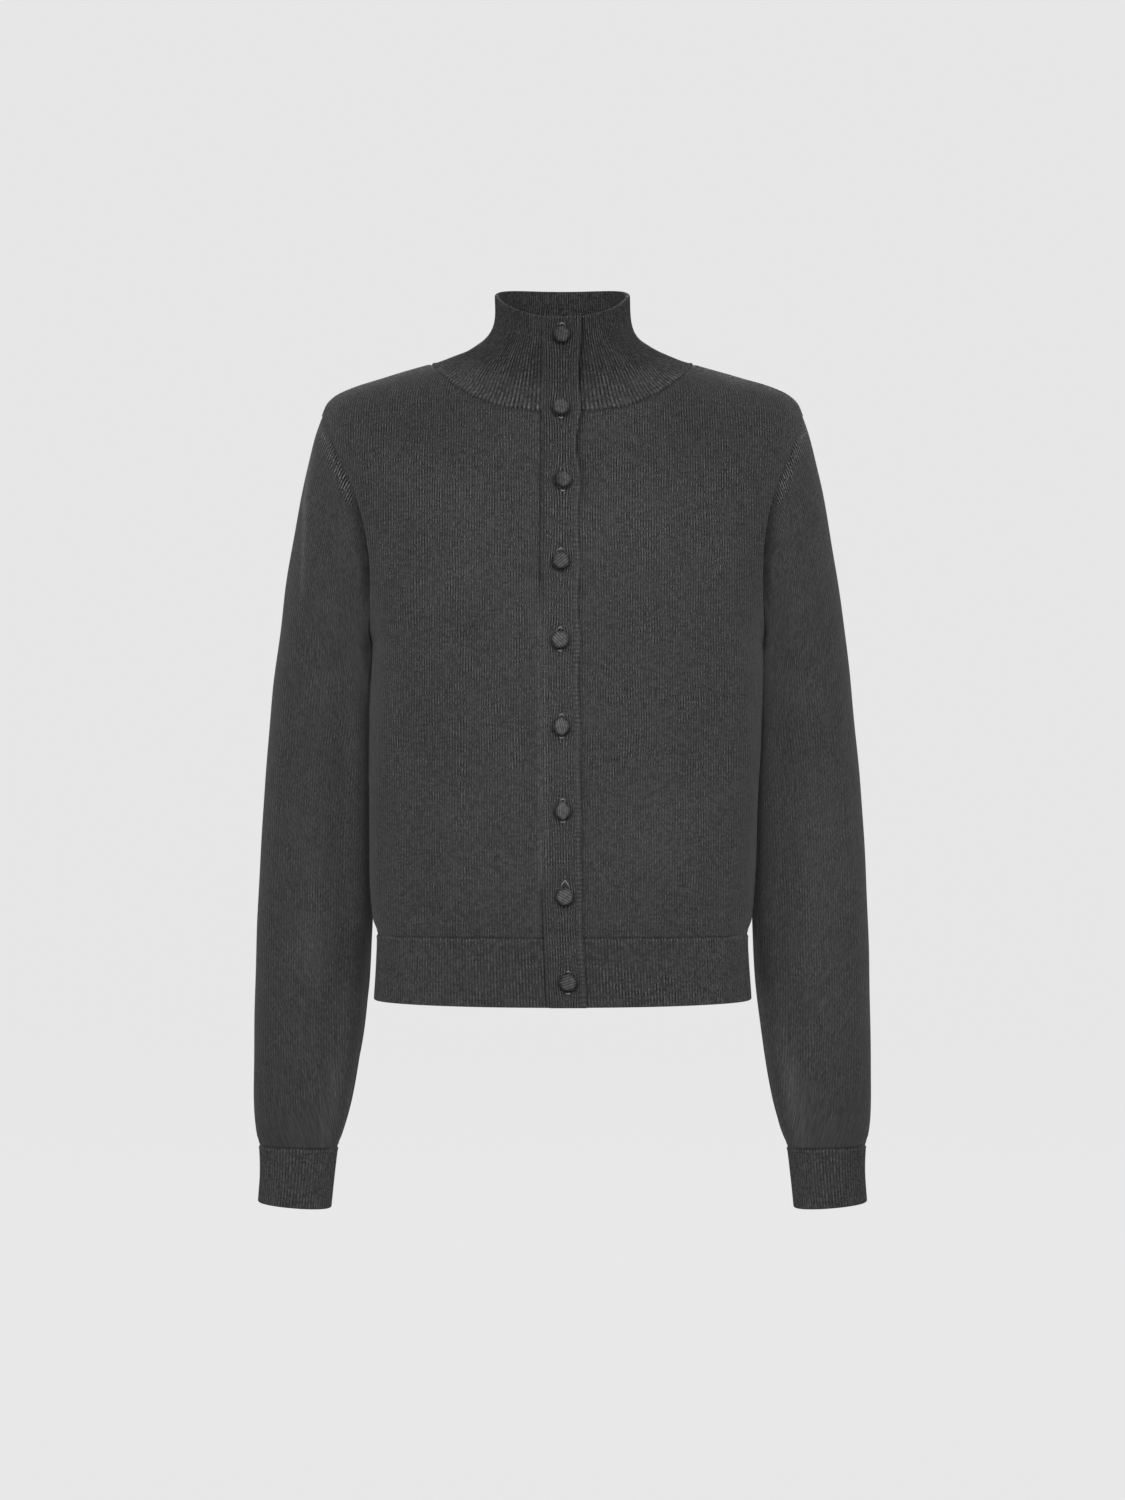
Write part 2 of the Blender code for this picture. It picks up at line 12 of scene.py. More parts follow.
import bpy
import numpy as np
from bpy.props import FloatProperty, FloatVectorProperty, PointerProperty
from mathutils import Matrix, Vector


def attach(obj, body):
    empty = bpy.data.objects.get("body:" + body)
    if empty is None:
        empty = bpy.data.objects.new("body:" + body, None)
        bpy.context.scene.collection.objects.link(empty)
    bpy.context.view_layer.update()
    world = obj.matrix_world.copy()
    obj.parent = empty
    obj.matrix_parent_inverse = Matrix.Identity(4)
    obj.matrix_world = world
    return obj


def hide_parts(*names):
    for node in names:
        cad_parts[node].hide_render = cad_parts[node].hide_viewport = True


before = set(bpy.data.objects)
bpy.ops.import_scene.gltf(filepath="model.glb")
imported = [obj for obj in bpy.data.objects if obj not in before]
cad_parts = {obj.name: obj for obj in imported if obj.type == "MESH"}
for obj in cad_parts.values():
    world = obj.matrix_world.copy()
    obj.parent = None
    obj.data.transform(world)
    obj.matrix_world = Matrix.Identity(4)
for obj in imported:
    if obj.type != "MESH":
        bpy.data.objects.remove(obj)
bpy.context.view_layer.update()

bl_info = {
    "name": "Button cardigan",
    "version": (1, 0, 0),
    "blender": (4, 5, 0),
    "location": "View3D > Sidebar > Cardigan",
    "description": "Knits a funnel-neck button cardigan as thin ribbed and plain shells",
    "category": "Add Mesh",
}

MM = 0.001
BODY = "root"

# ------------------------------------------------------------------ the worn form
# The bands: their width, the edges of the lower one from the button line, how far the upper one stands
# above the fronts and over what distance it climbs there, and the gap between pieces.
BAND_WIDTH = 30.0 * MM
UNDER_BAND = (-11.2 * MM, 9.8 * MM)
BAND_LIFT = 2.5 * MM
BAND_STEP = 3.2 * MM
SEAM_GAP = 0.3 * MM
# How far the sides hang to the wearer's left, from which row up and down to which ring of a sleeve.
SWAY, SWAY_FROM_ROW, SWAY_TO_RING = 4.2 * MM, 4, 8
# The buttons and their holes, and how much a button faces forward instead of out of the cloth.
BUTTON_RADIUS, BUTTON_HEIGHT, BUTTON_TILT = 6.7 * MM, 4.6 * MM, 0.8
BUTTONHOLE_LENGTH, BUTTONHOLE_WIDTH = 15.5 * MM, 1.9 * MM
YARN_RADIUS = 0.38 * MM
# From one stitch to the next along the band's seam and along its free edge.
CHAIN_STEP, SELVEDGE_STEP = 2.0 * MM, 3.3 * MM
# A rib's round crest, and the level of the cloth on it.
RIB_ROUNDNESS, RIB_LEVEL = 0.8, 0.6
FOLDS_FROM_EDGE = 25 * MM
# The least share of its width that a wale keeps where the cloth turns to the side.
LEAST_SLANT = 0.68
# How much painted light lifts the sleeves' sides by the body, and painted shade darkens the upright collar.
INNER_PAINTED_LIGHT, COLLAR_PAINTED_SHADE = 0.75, 0.34
LEAST_CHAINED, DARKEST_SHADE, UNDERSIDE_PAINTED_SHADE = 0.3, 0.05, 0.6
WIDER_FROM_ROW = 11

# The tables are in millimetres. A row's centre, in front and behind: its height and how far forward or
# back it is, how square the row is, how late it rises to its side, how it tilts from front to back, and
# how far the button line is to the wearer's left.
Centre = namedtuple("Centre", "row front_z front_y back_z back_y square lift tilt band")
CENTRE = (
    Centre(0, -510, -110, -510, 95, 2.35, 2.0, 0, 3.6),
    Centre(1, -484, -111, -484, 96, 2.35, 2.0, 0, 2.4),
    Centre(2, -455.5, -111.5, -456, 97, 2.35, 2.0, 0, 1.2),
    Centre(3, -443, -115.5, -443, 100.5, 2.35, 2.0, 0, 0.7),
    Centre(4, -415, -118.5, -415, 101, 2.35, 2.0, 0, 0.0),
    Centre(5, -360, -121, -360, 99, 2.35, 2.0, 0, -0.8),
    Centre(6, -300, -125.5, -300, 98.5, 2.35, 2.0, 0, -1.3),
    Centre(7, -250, -128.5, -250, 101.5, 2.35, 2.0, 0, -1.5),
    Centre(8, -222, -129, -222, 104, 2.3, 2.0, 0, -1.5),
    Centre(9, -188, -127, -186, 105.5, 2.25, 2.0, 0, -1.4),
    Centre(10, -154, -121.5, -150, 105, 2.17, 2.0, 0, -1.2),
    Centre(11, -122, -114, -114, 102, 2.08, 2.1, 0, -1.0),
    Centre(12, -94, -105.5, -80, 97, 2.0, 2.2, 0, -0.9),
    Centre(13, -74, -98.5, -52, 90.5, 1.97, 2.4, 0, -0.8),
    Centre(14, -58, -93, -28, 82, 1.98, 2.7, 0, -0.8),
    Centre(15, -45.5, -89, -8, 74, 2.0, 2.9, 0.03, -0.8),
    Centre(16, -24, -80.5, 12, 66.5, 2.0, 2.6, 0.1, -0.8),
    Centre(17, -4, -73, 30, 60, 2.0, 2.3, 0.18, -0.8),
    Centre(18, 12, -67.5, 45, 55.5, 2.0, 2.1, 0.24, -0.8),
    Centre(19, 30, -63, 62, 51, 2.0, 2.0, 0.27, -0.8),
)
# Where a row ends at the left side seam, or at the shoulder and neck.
Side = namedtuple("Side", "row x y z")
SIDE_SEAM = (
    Side(0, 150.0, -12, -508.5), Side(1, 148.6, -12, -483), Side(2, 147.4, -12, -456),
    Side(3, 151.0, -13, -443), Side(4, 153.4, -14, -415), Side(5, 154.6, -15, -360),
    Side(6, 155.4, -16, -300), Side(7, 155.8, -14, -255), Side(8, 155.6, -4, -225),
)
SHOULDER_AND_NECK = (
    Side(12, 192.0, 7, -42), Side(12.4, 188.4, 7, -33.4), Side(12.8, 182.0, 7, -27.0),
    Side(13.4, 167.5, 6.5, -20), Side(14.2, 139.5, 5, -11.6), Side(15, 105.5, 2.5, -2),
    Side(16, 87.0, 1.5, 4.6), Side(17, 71.0, 0, 11.6), Side(17.6, 62.0, -1, 17.6),
    Side(18, 57.0, -2, 24), Side(18.5, 53.8, -3, 35), Side(19, 53.8, -5, 53.5),
)
# A ring of the left sleeve: its outer and its inner end, how far back it is and how it leans, how deep it
# is from middle to front, how far its front and back bow in towards the body, and how square it is.
Ring = namedtuple("Ring", "outer_x outer_z inner_x inner_z y lean depth bow square")
SLEEVE = (
    Ring(192.0, -42, 155.6, -225, 1.5, 5.5, 52, 15.4, 2.0),
    Ring(198.0, -59, 157.0, -228.5, 3, 5, 53.5, 11.5, 2.02),
    Ring(203.6, -82, 157.4, -233, 5, 4, 55, 7, 2.05),
    Ring(210.2, -112, 157.0, -241, 8, 3, 56.5, 4, 2.1),
    Ring(217.0, -149, 156.2, -253, 12, 2, 57.5, 1.5, 2.15),
    Ring(223.6, -190, 155.2, -271, 16, 1, 57.5, 0.5, 2.15),
    Ring(229.6, -236, 154.4, -297, 20.5, 0, 57, 0, 2.15),
    Ring(235.6, -290, 153.4, -332, 25, 0, 57, 0, 2.15),
    Ring(241.2, -354, 152.8, -379, 30, 0, 56, 0, 2.15),
    Ring(245.2, -422, 152.8, -434, 33, 0, 54.5, 0, 2.15),
    Ring(247.8, -490, 155.6, -493, 33, 0, 51.5, 0, 2.15),
    Ring(248.7, -545, 161.6, -545, 31, 0, 48, 0, 2.15),
    Ring(248.8, -585, 168.4, -585, 27, 0, 44, 0, 2.1),
    Ring(247.9, -606, 173.2, -606, 24, 0, 40, 0, 2.1),
    Ring(246.2, -618.5, 177.2, -619, 22, 0, 36, 0, 2.1),
    Ring(244.0, -627, 180.6, -628.5, 21, 0, 33, 0, 2.1),
    Ring(243.0, -649, 183.6, -653, 18, 0, 31.5, 0, 2.1),
    Ring(244.4, -672.5, 186.0, -677.5, 15, 0, 31.5, 0, 2.1),
)
# A button's place, how far the free edge shrinks back below it, the turn of the knit that covers it,
# how much taller than wide it looks, how light its cover is, how much painted shade darkens its side to
# the wearer's right, and how high the bars of yarn stand that show at the upper and lower end of its
# buttonhole.
Button = namedtuple("Button", "x z shrink grain tall tone dim_side yarn_above yarn_below")
BUTTONS = (
    Button(-0.4, 15.0, 1.6, 0.95, 1.04, 0.62, 0.1, 1.5, 0.0),
    Button(-1.1, -44.0, 3.6, 0.04, 0.98, 0.78, 0.05, 0.0, 1.1),
    Button(0.2, -101.5, 2.0, 0.02, 1.0, 0.65, 0.5, 0.0, 1.2),
    Button(-1.2, -164.5, 1.5, 0.72, 1.0, 0.8, 0.1, 2.0, 0.0),
    Button(-1.7, -225.0, 1.2, 0.25, 1.0, 1.02, 0.0, 1.9, 0.9),
    Button(-0.7, -291.5, 0.5, 0.1, 1.38, 1.06, 0.0, 1.7, 1.1),
    Button(0.3, -356.5, 0.5, 0.0, 1.44, 1.04, 0.0, 1.3, 1.2),
    Button(1.9, -423.0, 0.6, 0.35, 1.0, 1.0, 0.0, 4.8, 0.0),
    Button(4.4, -490.0, 0.0, 0.6, 1.0, 0.77, 0.1, 1.0, 0.8),
)
SIDES = ("left", "right")
HEM_ROW, RIB_SEAM_ROW, UNDERARM_ROW, TIP_ROW, COLLAR_ROW, TOP_ROW = 0, 2, 8, 12, 15, 19
CUFF_RING, WRIST_RING = 15, 17
HEM_MIDDLE_ROW, COLLAR_MIDDLE_ROW, CUFF_MIDDLE_RING = 1, 17, 16.0
LEFT_SIDE, BACK, RIGHT_SIDE, ROUND = 1, 2, 3, 4
ARC_SAMPLES = 257
SLOPE_STEP = 2e-3
BEHIND = 1e-9

# How close together the knit is modelled, and in how many places the form is measured.
RIB_STEP, COLLAR_STEP, SLEEVE_STEP = 6 * MM, 3.8 * MM, 3.0 * MM
SLEEVE_COLUMNS, BUTTON_SPOKES, PLACES_ON_RIB = 120, 96, 6
SAMPLES_IN_ROW, WALE_SAMPLES = 20, 90
DRIFT_WAVES = 7


def hermite(knots, values, at):
    """Values between a table's rows on one smooth curve; values may hold arrays of any shape."""
    slopes = np.gradient(values, knots, axis=0)
    k = int(np.clip(np.searchsorted(knots, at, side="right") - 1, 0, len(knots) - 2))
    width = knots[k + 1] - knots[k]
    t = (at - knots[k]) / width
    start, end = 2 * t**3 - 3 * t**2 + 1, 3 * t**2 - 2 * t**3
    bend = (t**3 - 2 * t**2 + t) * slopes[k] + (t**3 - t**2) * slopes[k + 1]
    return start * values[k] + end * values[k + 1] + width * bend


def through(table, at):
    """Every column of a table but its first, at a place between its rows."""
    rows = np.asarray(table, float)
    return hermite(rows[:, 0], rows[:, 1:], at)


def smooth(share):
    """A soft step from 0 to 1."""
    share = np.clip(share, 0, 1)
    return share**2 * (3 - 2 * share)


def higher(z, height, over):
    """A soft step from 0 to 1 above a height, over a distance, both in millimetres."""
    return smooth((z / MM - height) / over)


def lower(z, height, over):
    """A soft step from 0 to 1 below a height, over a distance, both in millimetres."""
    return smooth((height - z / MM) / over)


def hump(distance, width):
    """A soft bump, 1 in its middle."""
    return np.exp(-((distance / width) ** 2))


def armhole_angle(row):
    """Round the armhole, from 0 at the shoulder's point to pi at the underarm."""
    return np.pi * (TIP_ROW - row) / (TIP_ROW - UNDERARM_ROW)


def ring_points(ring, angle, front):
    """Points on one of the left sleeve's rings, for arrays of angles and of whether they are in front."""
    across = np.sign(np.cos(angle)) * np.abs(np.cos(angle)) ** (2 / ring.square)
    deep = np.abs(np.sin(angle)) ** (2 / ring.square)
    middle_x, half_x = (ring.outer_x + ring.inner_x) / 2, (ring.outer_x - ring.inner_x) / 2
    middle_z, half_z = (ring.outer_z + ring.inner_z) / 2, (ring.outer_z - ring.inner_z) / 2
    forward = ring.depth * deep * np.where(front, -1, 1)
    return MM * np.stack((
        middle_x + half_x * across - ring.bow * deep**3,
        ring.y + ring.lean * across + forward,
        middle_z + half_z * across,
    ), axis=-1)


def side_of(row):
    """Where a row meets its side: a seam, or the armhole's straight line from underarm to shoulder."""
    if row <= UNDERARM_ROW:
        return MM * through(SIDE_SEAM, row)
    if row >= TIP_ROW:
        return MM * through(SHOULDER_AND_NECK, row)
    return ring_points(SLEEVE[0]._replace(depth=0, bow=0), armhole_angle(row), True)


def edge_of(row, front):
    """Where the left front or the left half of the back ends in a row."""
    if UNDERARM_ROW < row < TIP_ROW:
        return ring_points(SLEEVE[0], armhole_angle(row), front)
    return side_of(row)


def sway(row):
    """How far the sides of a row hang to the wearer's left."""
    if row >= UNDERARM_ROW:
        return SWAY * (1 - np.cos(armhole_angle(min(row, TIP_ROW)))) / 2
    return SWAY * smooth((row - SWAY_FROM_ROW) / (UNDERARM_ROW - SWAY_FROM_ROW))


def lengths_down(points):
    """How far each point is along its column from the first row, or along its line."""
    steps = np.linalg.norm(np.diff(points, axis=0), axis=-1)
    return np.concatenate((np.zeros((1, *steps.shape[1:])), np.cumsum(steps, axis=0)))


def lengths_across(points):
    """How far each point is along its row from the first column."""
    return lengths_down(points.swapaxes(0, 1)).T


@lru_cache(maxsize=None)
def quarter(row, front):
    """Points along a row from its centre to its left edge, and how far along each one is."""
    centre = Centre(row, *through(CENTRE, row))
    middle_z, middle_y = (centre.front_z, centre.front_y) if front else (centre.back_z, centre.back_y)
    middle_z, middle_y = MM * middle_z, MM * middle_y
    side_y, edge = side_of(row)[1], edge_of(row, front)
    depth = middle_y - side_y
    reach = (edge[1] - side_y) / depth
    corner_x = edge[0] / (1 - reach**centre.square) ** (1 / centre.square)
    last = np.arcsin(min(1.0, (edge[0] / corner_x) ** (centre.square / 2)))
    angle = np.linspace(0, last, ARC_SAMPLES)
    x = corner_x * np.sin(angle) ** (2 / centre.square)
    y = side_y + depth * np.cos(angle) ** (2 / centre.square)
    tilted = edge[2] + centre.tilt * (y - side_y)
    z = tilted + (middle_z - edge[2] - centre.tilt * depth) * (1 - (x / edge[0]) ** centre.lift)
    points = np.stack((x, y, z), axis=1)
    points[-1] = edge
    return points, lengths_down(points)


def row_length(row, front=True):
    """From the centre to the left edge along a row."""
    return quarter(round(float(row), 6), front)[1][-1]


def torso(row, turns):
    """Points on the outside of the torso's form, for an array of turns in one row."""
    turns = np.atleast_1d(np.asarray(turns, float)) % ROUND
    mirrored = turns > BACK
    turns = np.where(mirrored, ROUND - turns, turns)
    place = np.empty((len(turns), 3))
    for front in (True, False):
        here = (turns <= LEFT_SIDE) == front
        points, along = quarter(round(float(row), 6), front)
        share = turns[here] if front else BACK - turns[here]
        for k in range(3):
            place[here, k] = np.interp(share * along[-1], along, points[:, k])
        swayed = sway(row) * (place[here, 0] / points[-1, 0]) ** 2
        place[here, 0] = swayed + np.where(mirrored[here], -1, 1) * place[here, 0]
    return place


def torso_out(row, turns, limits):
    """The ways out of the torso's form, measured inside one piece's limits."""
    low, high = max(row - SLOPE_STEP, HEM_ROW), min(row + SLOPE_STEP, TOP_ROW)
    up = torso(high, turns) - torso(low, turns)
    on, back = np.minimum(turns + SLOPE_STEP, limits[1]), np.maximum(turns - SLOPE_STEP, limits[0])
    return unit(np.cross(torso(row, on) - torso(row, back), up))


def unit(vectors):
    """Vectors of length one."""
    return vectors / np.maximum(np.linalg.norm(vectors, axis=-1, keepdims=True), 1e-12)


def front_turn(row, distance):
    """The turn that is so far, in metres, to the wearer's left of the centre front."""
    return distance / row_length(row)


def band_middle(row):
    """How far the button line sits to the wearer's left of the centre front, in metres."""
    return MM * Centre(row, *through(CENTRE, row)).band


def band_edge(row, left):
    """The turn at which a front ends at its band."""
    return front_turn(row, band_middle(row) + (UNDER_BAND[1] if left else -BAND_WIDTH / 2))


@lru_cache(maxsize=None)
def front_line():
    """Rows up the button line, how far each one is from the hem along the cloth, and its height."""
    rows = np.linspace(HEM_ROW, TOP_ROW, SAMPLES_IN_ROW * TOP_ROW + 1)
    places = np.array([torso(row, front_turn(row, band_middle(row)))[0] for row in rows])
    return rows, lengths_down(places), places[:, 2]


def row_at(length):
    """The row that is so far up the button line from the hem."""
    rows, along = front_line()[:2]
    return float(np.interp(length, along, rows))


@lru_cache(maxsize=None)
def button_lengths():
    """How far up the button line each button's centre is, from the hem upwards."""
    along, heights = front_line()[1:]
    return np.interp([MM * button.z for button in reversed(BUTTONS)], heights, along)


def length_at(row):
    """How far up the button line a row is from the hem."""
    rows, along = front_line()[:2]
    return float(np.interp(row, rows, along))


def button_aside(length):
    """How far the line of buttonholes sits to the wearer's left of the band's middle."""
    asides = [
        MM * button.x - band_middle(row_at(place))
        for button, place in zip(reversed(BUTTONS), button_lengths())
    ]
    return np.interp(length, button_lengths(), asides)


def free_edge_shrink(length):
    """How far the buttonhole band's free edge shrinks back between two buttons, none at a button."""
    buttons = button_lengths()
    number = float(np.interp(length, buttons, range(len(buttons))))
    upper = BUTTONS[len(buttons) - 1 - int(np.ceil(number))]
    return MM * upper.shrink * (1 - np.cos(2 * np.pi * number)) / 2


def free_edge(length):
    """How far the buttonhole band's free edge is from the band's middle."""
    return BAND_WIDTH / 2 - free_edge_shrink(length)


def sleeve_grid(rings, turns):
    """The left sleeve's form and its ways out, for arrays of rings and of turns."""
    def table(at):
        at = at % ROUND
        front = at <= 2
        angle = np.pi / 2 * np.where(front, at, ROUND - at)
        return np.array([ring_points(ring, angle, front) for ring in SLEEVE])
    knots = np.arange(len(SLEEVE), dtype=float)
    here, on, back = table(turns), table(turns + SLOPE_STEP), table(turns - SLOPE_STEP)
    points, ways = [], []
    for ring in rings:
        low, high = max(ring - SLOPE_STEP, 0), min(ring + SLOPE_STEP, WRIST_RING)
        down = hermite(knots, here, high) - hermite(knots, here, low)
        points.append(hermite(knots, here, ring))
        ways.append(unit(np.cross(hermite(knots, on, ring) - hermite(knots, back, ring), down)))
    return np.array(points), np.array(ways)


def sleeve_sway(rings, turns):
    """How far places on a sleeve hang to the wearer's left with the body's side."""
    return SWAY * (1 - np.cos(np.pi / 2 * turns)) / 2 * smooth(1 - rings[:, None] / SWAY_TO_RING)


# ------------------------------------------------------------------ spacing and unrolling the cloth
FREE_EDGE = MM * np.array((0, 0.12, 0.35, 0.7, 1.2, 2.0))
SEAM_EDGE = MM * np.array((0, 0.4, 0.8, 1.3, 1.9, 2.6, 3.4, 4.4))
HEAD_EDGE = MM * np.array((0, 0.4, 0.8, 1.3, 1.9, 2.6, 3.4, 4.3, 5.3, 6.4, 7.6, 9.0, 10.6))
STITCHED_EDGE = MM * np.array((0, 0.4, 0.8, 1.2, 1.6, 2.0, 2.4, 2.8, 3.2, 3.8, 4.6))


def spaced(total, step, start, end):
    """Places along a length, close together near its two ends as those ends' tables say."""
    count = max(2, int(round((total - start[-1] - end[-1]) / step)) + 1)
    middle = np.linspace(start[-1], total - end[-1], count)
    return np.concatenate((start[:-1], middle, total - end[-2::-1]))


def rows_between(first, last, turn, step, start, end):
    """Rows of the torso from first to last, spaced along the cloth at a turn."""
    rows = np.linspace(first, last, SAMPLES_IN_ROW * int(last - first) + 1)
    along = lengths_down(np.array([torso(row, turn)[0] for row in rows]))
    return np.interp(spaced(along[-1], step, start, end), along, rows)


def up_the_wales(points, aside):
    """How far up its own wale each point is, where aside is its distance from the middle wale."""
    even = np.linspace(aside.min(), aside.max(), WALE_SAMPLES)
    wales = np.array([
        [np.interp(even, *ordered(aside[row], points[row, :, k])) for k in range(3)]
        for row in range(len(points))
    ])
    up = lengths_down(wales.swapaxes(1, 2))
    return np.array([np.interp(aside[row], even, up[row]) for row in range(len(points))])


def ordered(places, values):
    """Both arrays, turned round if the places fall."""
    return (places, values) if places[-1] > places[0] else (places[::-1], values[::-1])


def drift(a, b, seed, size):
    """A smooth uneven field between about -1 and 1, whose patches are about size across."""
    draw = np.random.default_rng(seed)
    total = np.zeros(np.broadcast(a, b).shape)
    for _ in range(DRIFT_WAVES):
        way, phase, stretch = draw.uniform(0, np.pi), draw.uniform(0, 2 * np.pi), draw.uniform(0.6, 1.7)
        total += np.sin((a * np.cos(way) + b * np.sin(way)) * np.pi * stretch / size + phase)
    return total / (DRIFT_WAVES / 2)


# A soft fold runs from one place to another, seen from its own side of the body, in millimetres.
# height is above the form for a ridge and below it for a trough.
Fold = namedtuple("Fold", "x0 z0 x1 z1 width height")
FRONT_FOLDS = (
    Fold(-148, -250, -84, -205, 18, -0.5),
    Fold(-92, -215, -58, -250, 15, -0.6),
    Fold(-132, -430, -112, -270, 20, -0.8),
    Fold(-96, -440, -84, -330, 18, 0.6),
    Fold(-60, -445, -70, -395, 15, -0.6),
    Fold(146, -236, 92, -196, 18, -0.5),
    Fold(78, -430, 48, -300, 20, 0.7),
    Fold(38, -440, 44, -395, 13, -0.6),
    Fold(128, -430, 118, -300, 20, -0.6),
    Fold(-150, -120, -118, -40, 18, -0.5),
    Fold(152, -118, 122, -45, 18, -0.6),
)
BACK_FOLDS = (
    Fold(-140, -240, -78, -212, 17, -1.2),
    Fold(140, -250, 84, -205, 16, -1.1),
    Fold(-118, -430, -98, -290, 20, -1.1),
    Fold(104, -438, 116, -300, 19, -1.2),
    Fold(-62, -440, -52, -350, 17, 1.0),
    Fold(38, -440, 50, -340, 18, 0.9),
    Fold(-70, -70, 66, -62, 22, 1.0),
    Fold(-20, -445, -8, -380, 14, -0.8),
)
SLEEVE_FOLDS = (
    Fold(168, -240, 206, -262, 12, -1.6),
    Fold(166, -262, 210, -292, 12, 1.1),
    Fold(232, -350, 190, -380, 16, -0.9),
    Fold(222, -560, 204, -440, 14, 0.8),
    Fold(196, -600, 180, -480, 12, -0.8),
    Fold(236, -600, 226, -500, 12, -0.6),
    Fold(206, -615, 200, -560, 9, 0.4),
    Fold(226, -618, 230, -575, 8, -0.4),
)

# A soft patch of painted light or shade lies along a line too. amount is a share of the cloth's shade.
Shade = namedtuple("Shade", "x0 z0 x1 z1 width amount")
FRONT_PAINTED_PATCHES = (
    Shade(-120, -330, -118, -250, 20, -0.05),
    Shade(-78, -226, -66, -212, 11, -0.10),
    Shade(-96, -428, -34, -426, 13, -0.06),
    Shade(-100, -135, -40, -125, 32, 0.03),
    Shade(30, -150, 100, -130, 34, 0.03),
    Shade(-150, -64, -70, -44, 24, -0.13),
    Shade(150, -64, 70, -44, 24, -0.13),
    Shade(-110, -84, -22, -76, 26, -0.08),
    Shade(110, -84, 22, -76, 26, -0.08),
    Shade(66, -350, 88, -395, 22, 0.07),
    Shade(28, -428, 60, -424, 14, -0.06),
    Shade(-60, -300, -40, -330, 24, 0.03),
    Shade(-142, -135, -133, -185, 14, 0.12),
    Shade(136, -135, 122, -188, 16, 0.14),
    Shade(90, -305, 98, -420, 26, 0.08),
)
SLEEVE_PAINTED_PATCHES = {
    "right": (
        Shade(199, -64, 206.5, -118, 1.8, 0.9),
        Shade(205, -95, 207, -190, 1.8, 0.75),
        Shade(188, -424, 216, -492, 15, 0.13),
        Shade(200, -590, 220, -594, 30, -0.10),
        Shade(168, -340, 186, -308, 12, -0.10),
        Shade(158, -446, 173, -482, 14, -0.26),
        Shade(171, -486, 166, -518, 12, -0.12),
        Shade(202, -452, 190, -508, 11, 0.12),
        Shade(214, -600, 196, -560, 13, -0.05),
    ),
    "left": (
        Shade(172, -536, 194, -632, 9, 0.28),
        Shade(214, -600, 230, -596, 16, -0.08),
        Shade(162, -346, 190, -306, 13, -0.10),
        Shade(222, -300, 214, -420, 16, 0.05),
        Shade(200, -340, 206, -575, 38, 0.12),
        Shade(160, -500, 166, -548, 8, 0.26),
        Shade(154, -426, 156, -458, 7, 0.16),
        Shade(155, -232, 154, -322, 6, -0.2),
        Shade(200, -560, 224, -600, 13, -0.05),
    ),
}


def painted_patches(x, z, shades):
    """How much painted light and shade in soft patches lighten or darken the cloth at places seen square
    on.
    """
    return folded(x, z, [Fold(*shade) for shade in shades]) / MM


def folded(x, z, folds):
    """How far soft folds lift or sink the cloth at places seen square on, in metres."""
    lifted = np.zeros(np.shape(x))
    for fold in folds:
        start, end = MM * np.array((fold.x0, fold.z0)), MM * np.array((fold.x1, fold.z1))
        way = end - start
        along = ((x - start[0]) * way[0] + (z - start[1]) * way[1]) / (way @ way)
        nearest = np.clip(along, 0, 1)
        off = np.hypot(x - start[0] - nearest * way[0], z - start[1] - nearest * way[1])
        fading = smooth(1.15 - np.abs(nearest - 0.5) * 1.5)
        lifted += MM * fold.height * fading * hump(off, MM * fold.width)
    return lifted


# ------------------------------------------------------------------ making a shell of cloth
Finish = namedtuple("Finish", "material slot")

# A cell's four corners, and the cells beyond its four sides, as rows and columns on from the cell.
CORNERS = ((0, 0), (0, 1), (1, 1), (1, 0))
BEYOND = ((-1, 0), (0, 1), (1, 0), (0, -1))
LEAST_ROLL = 0.03


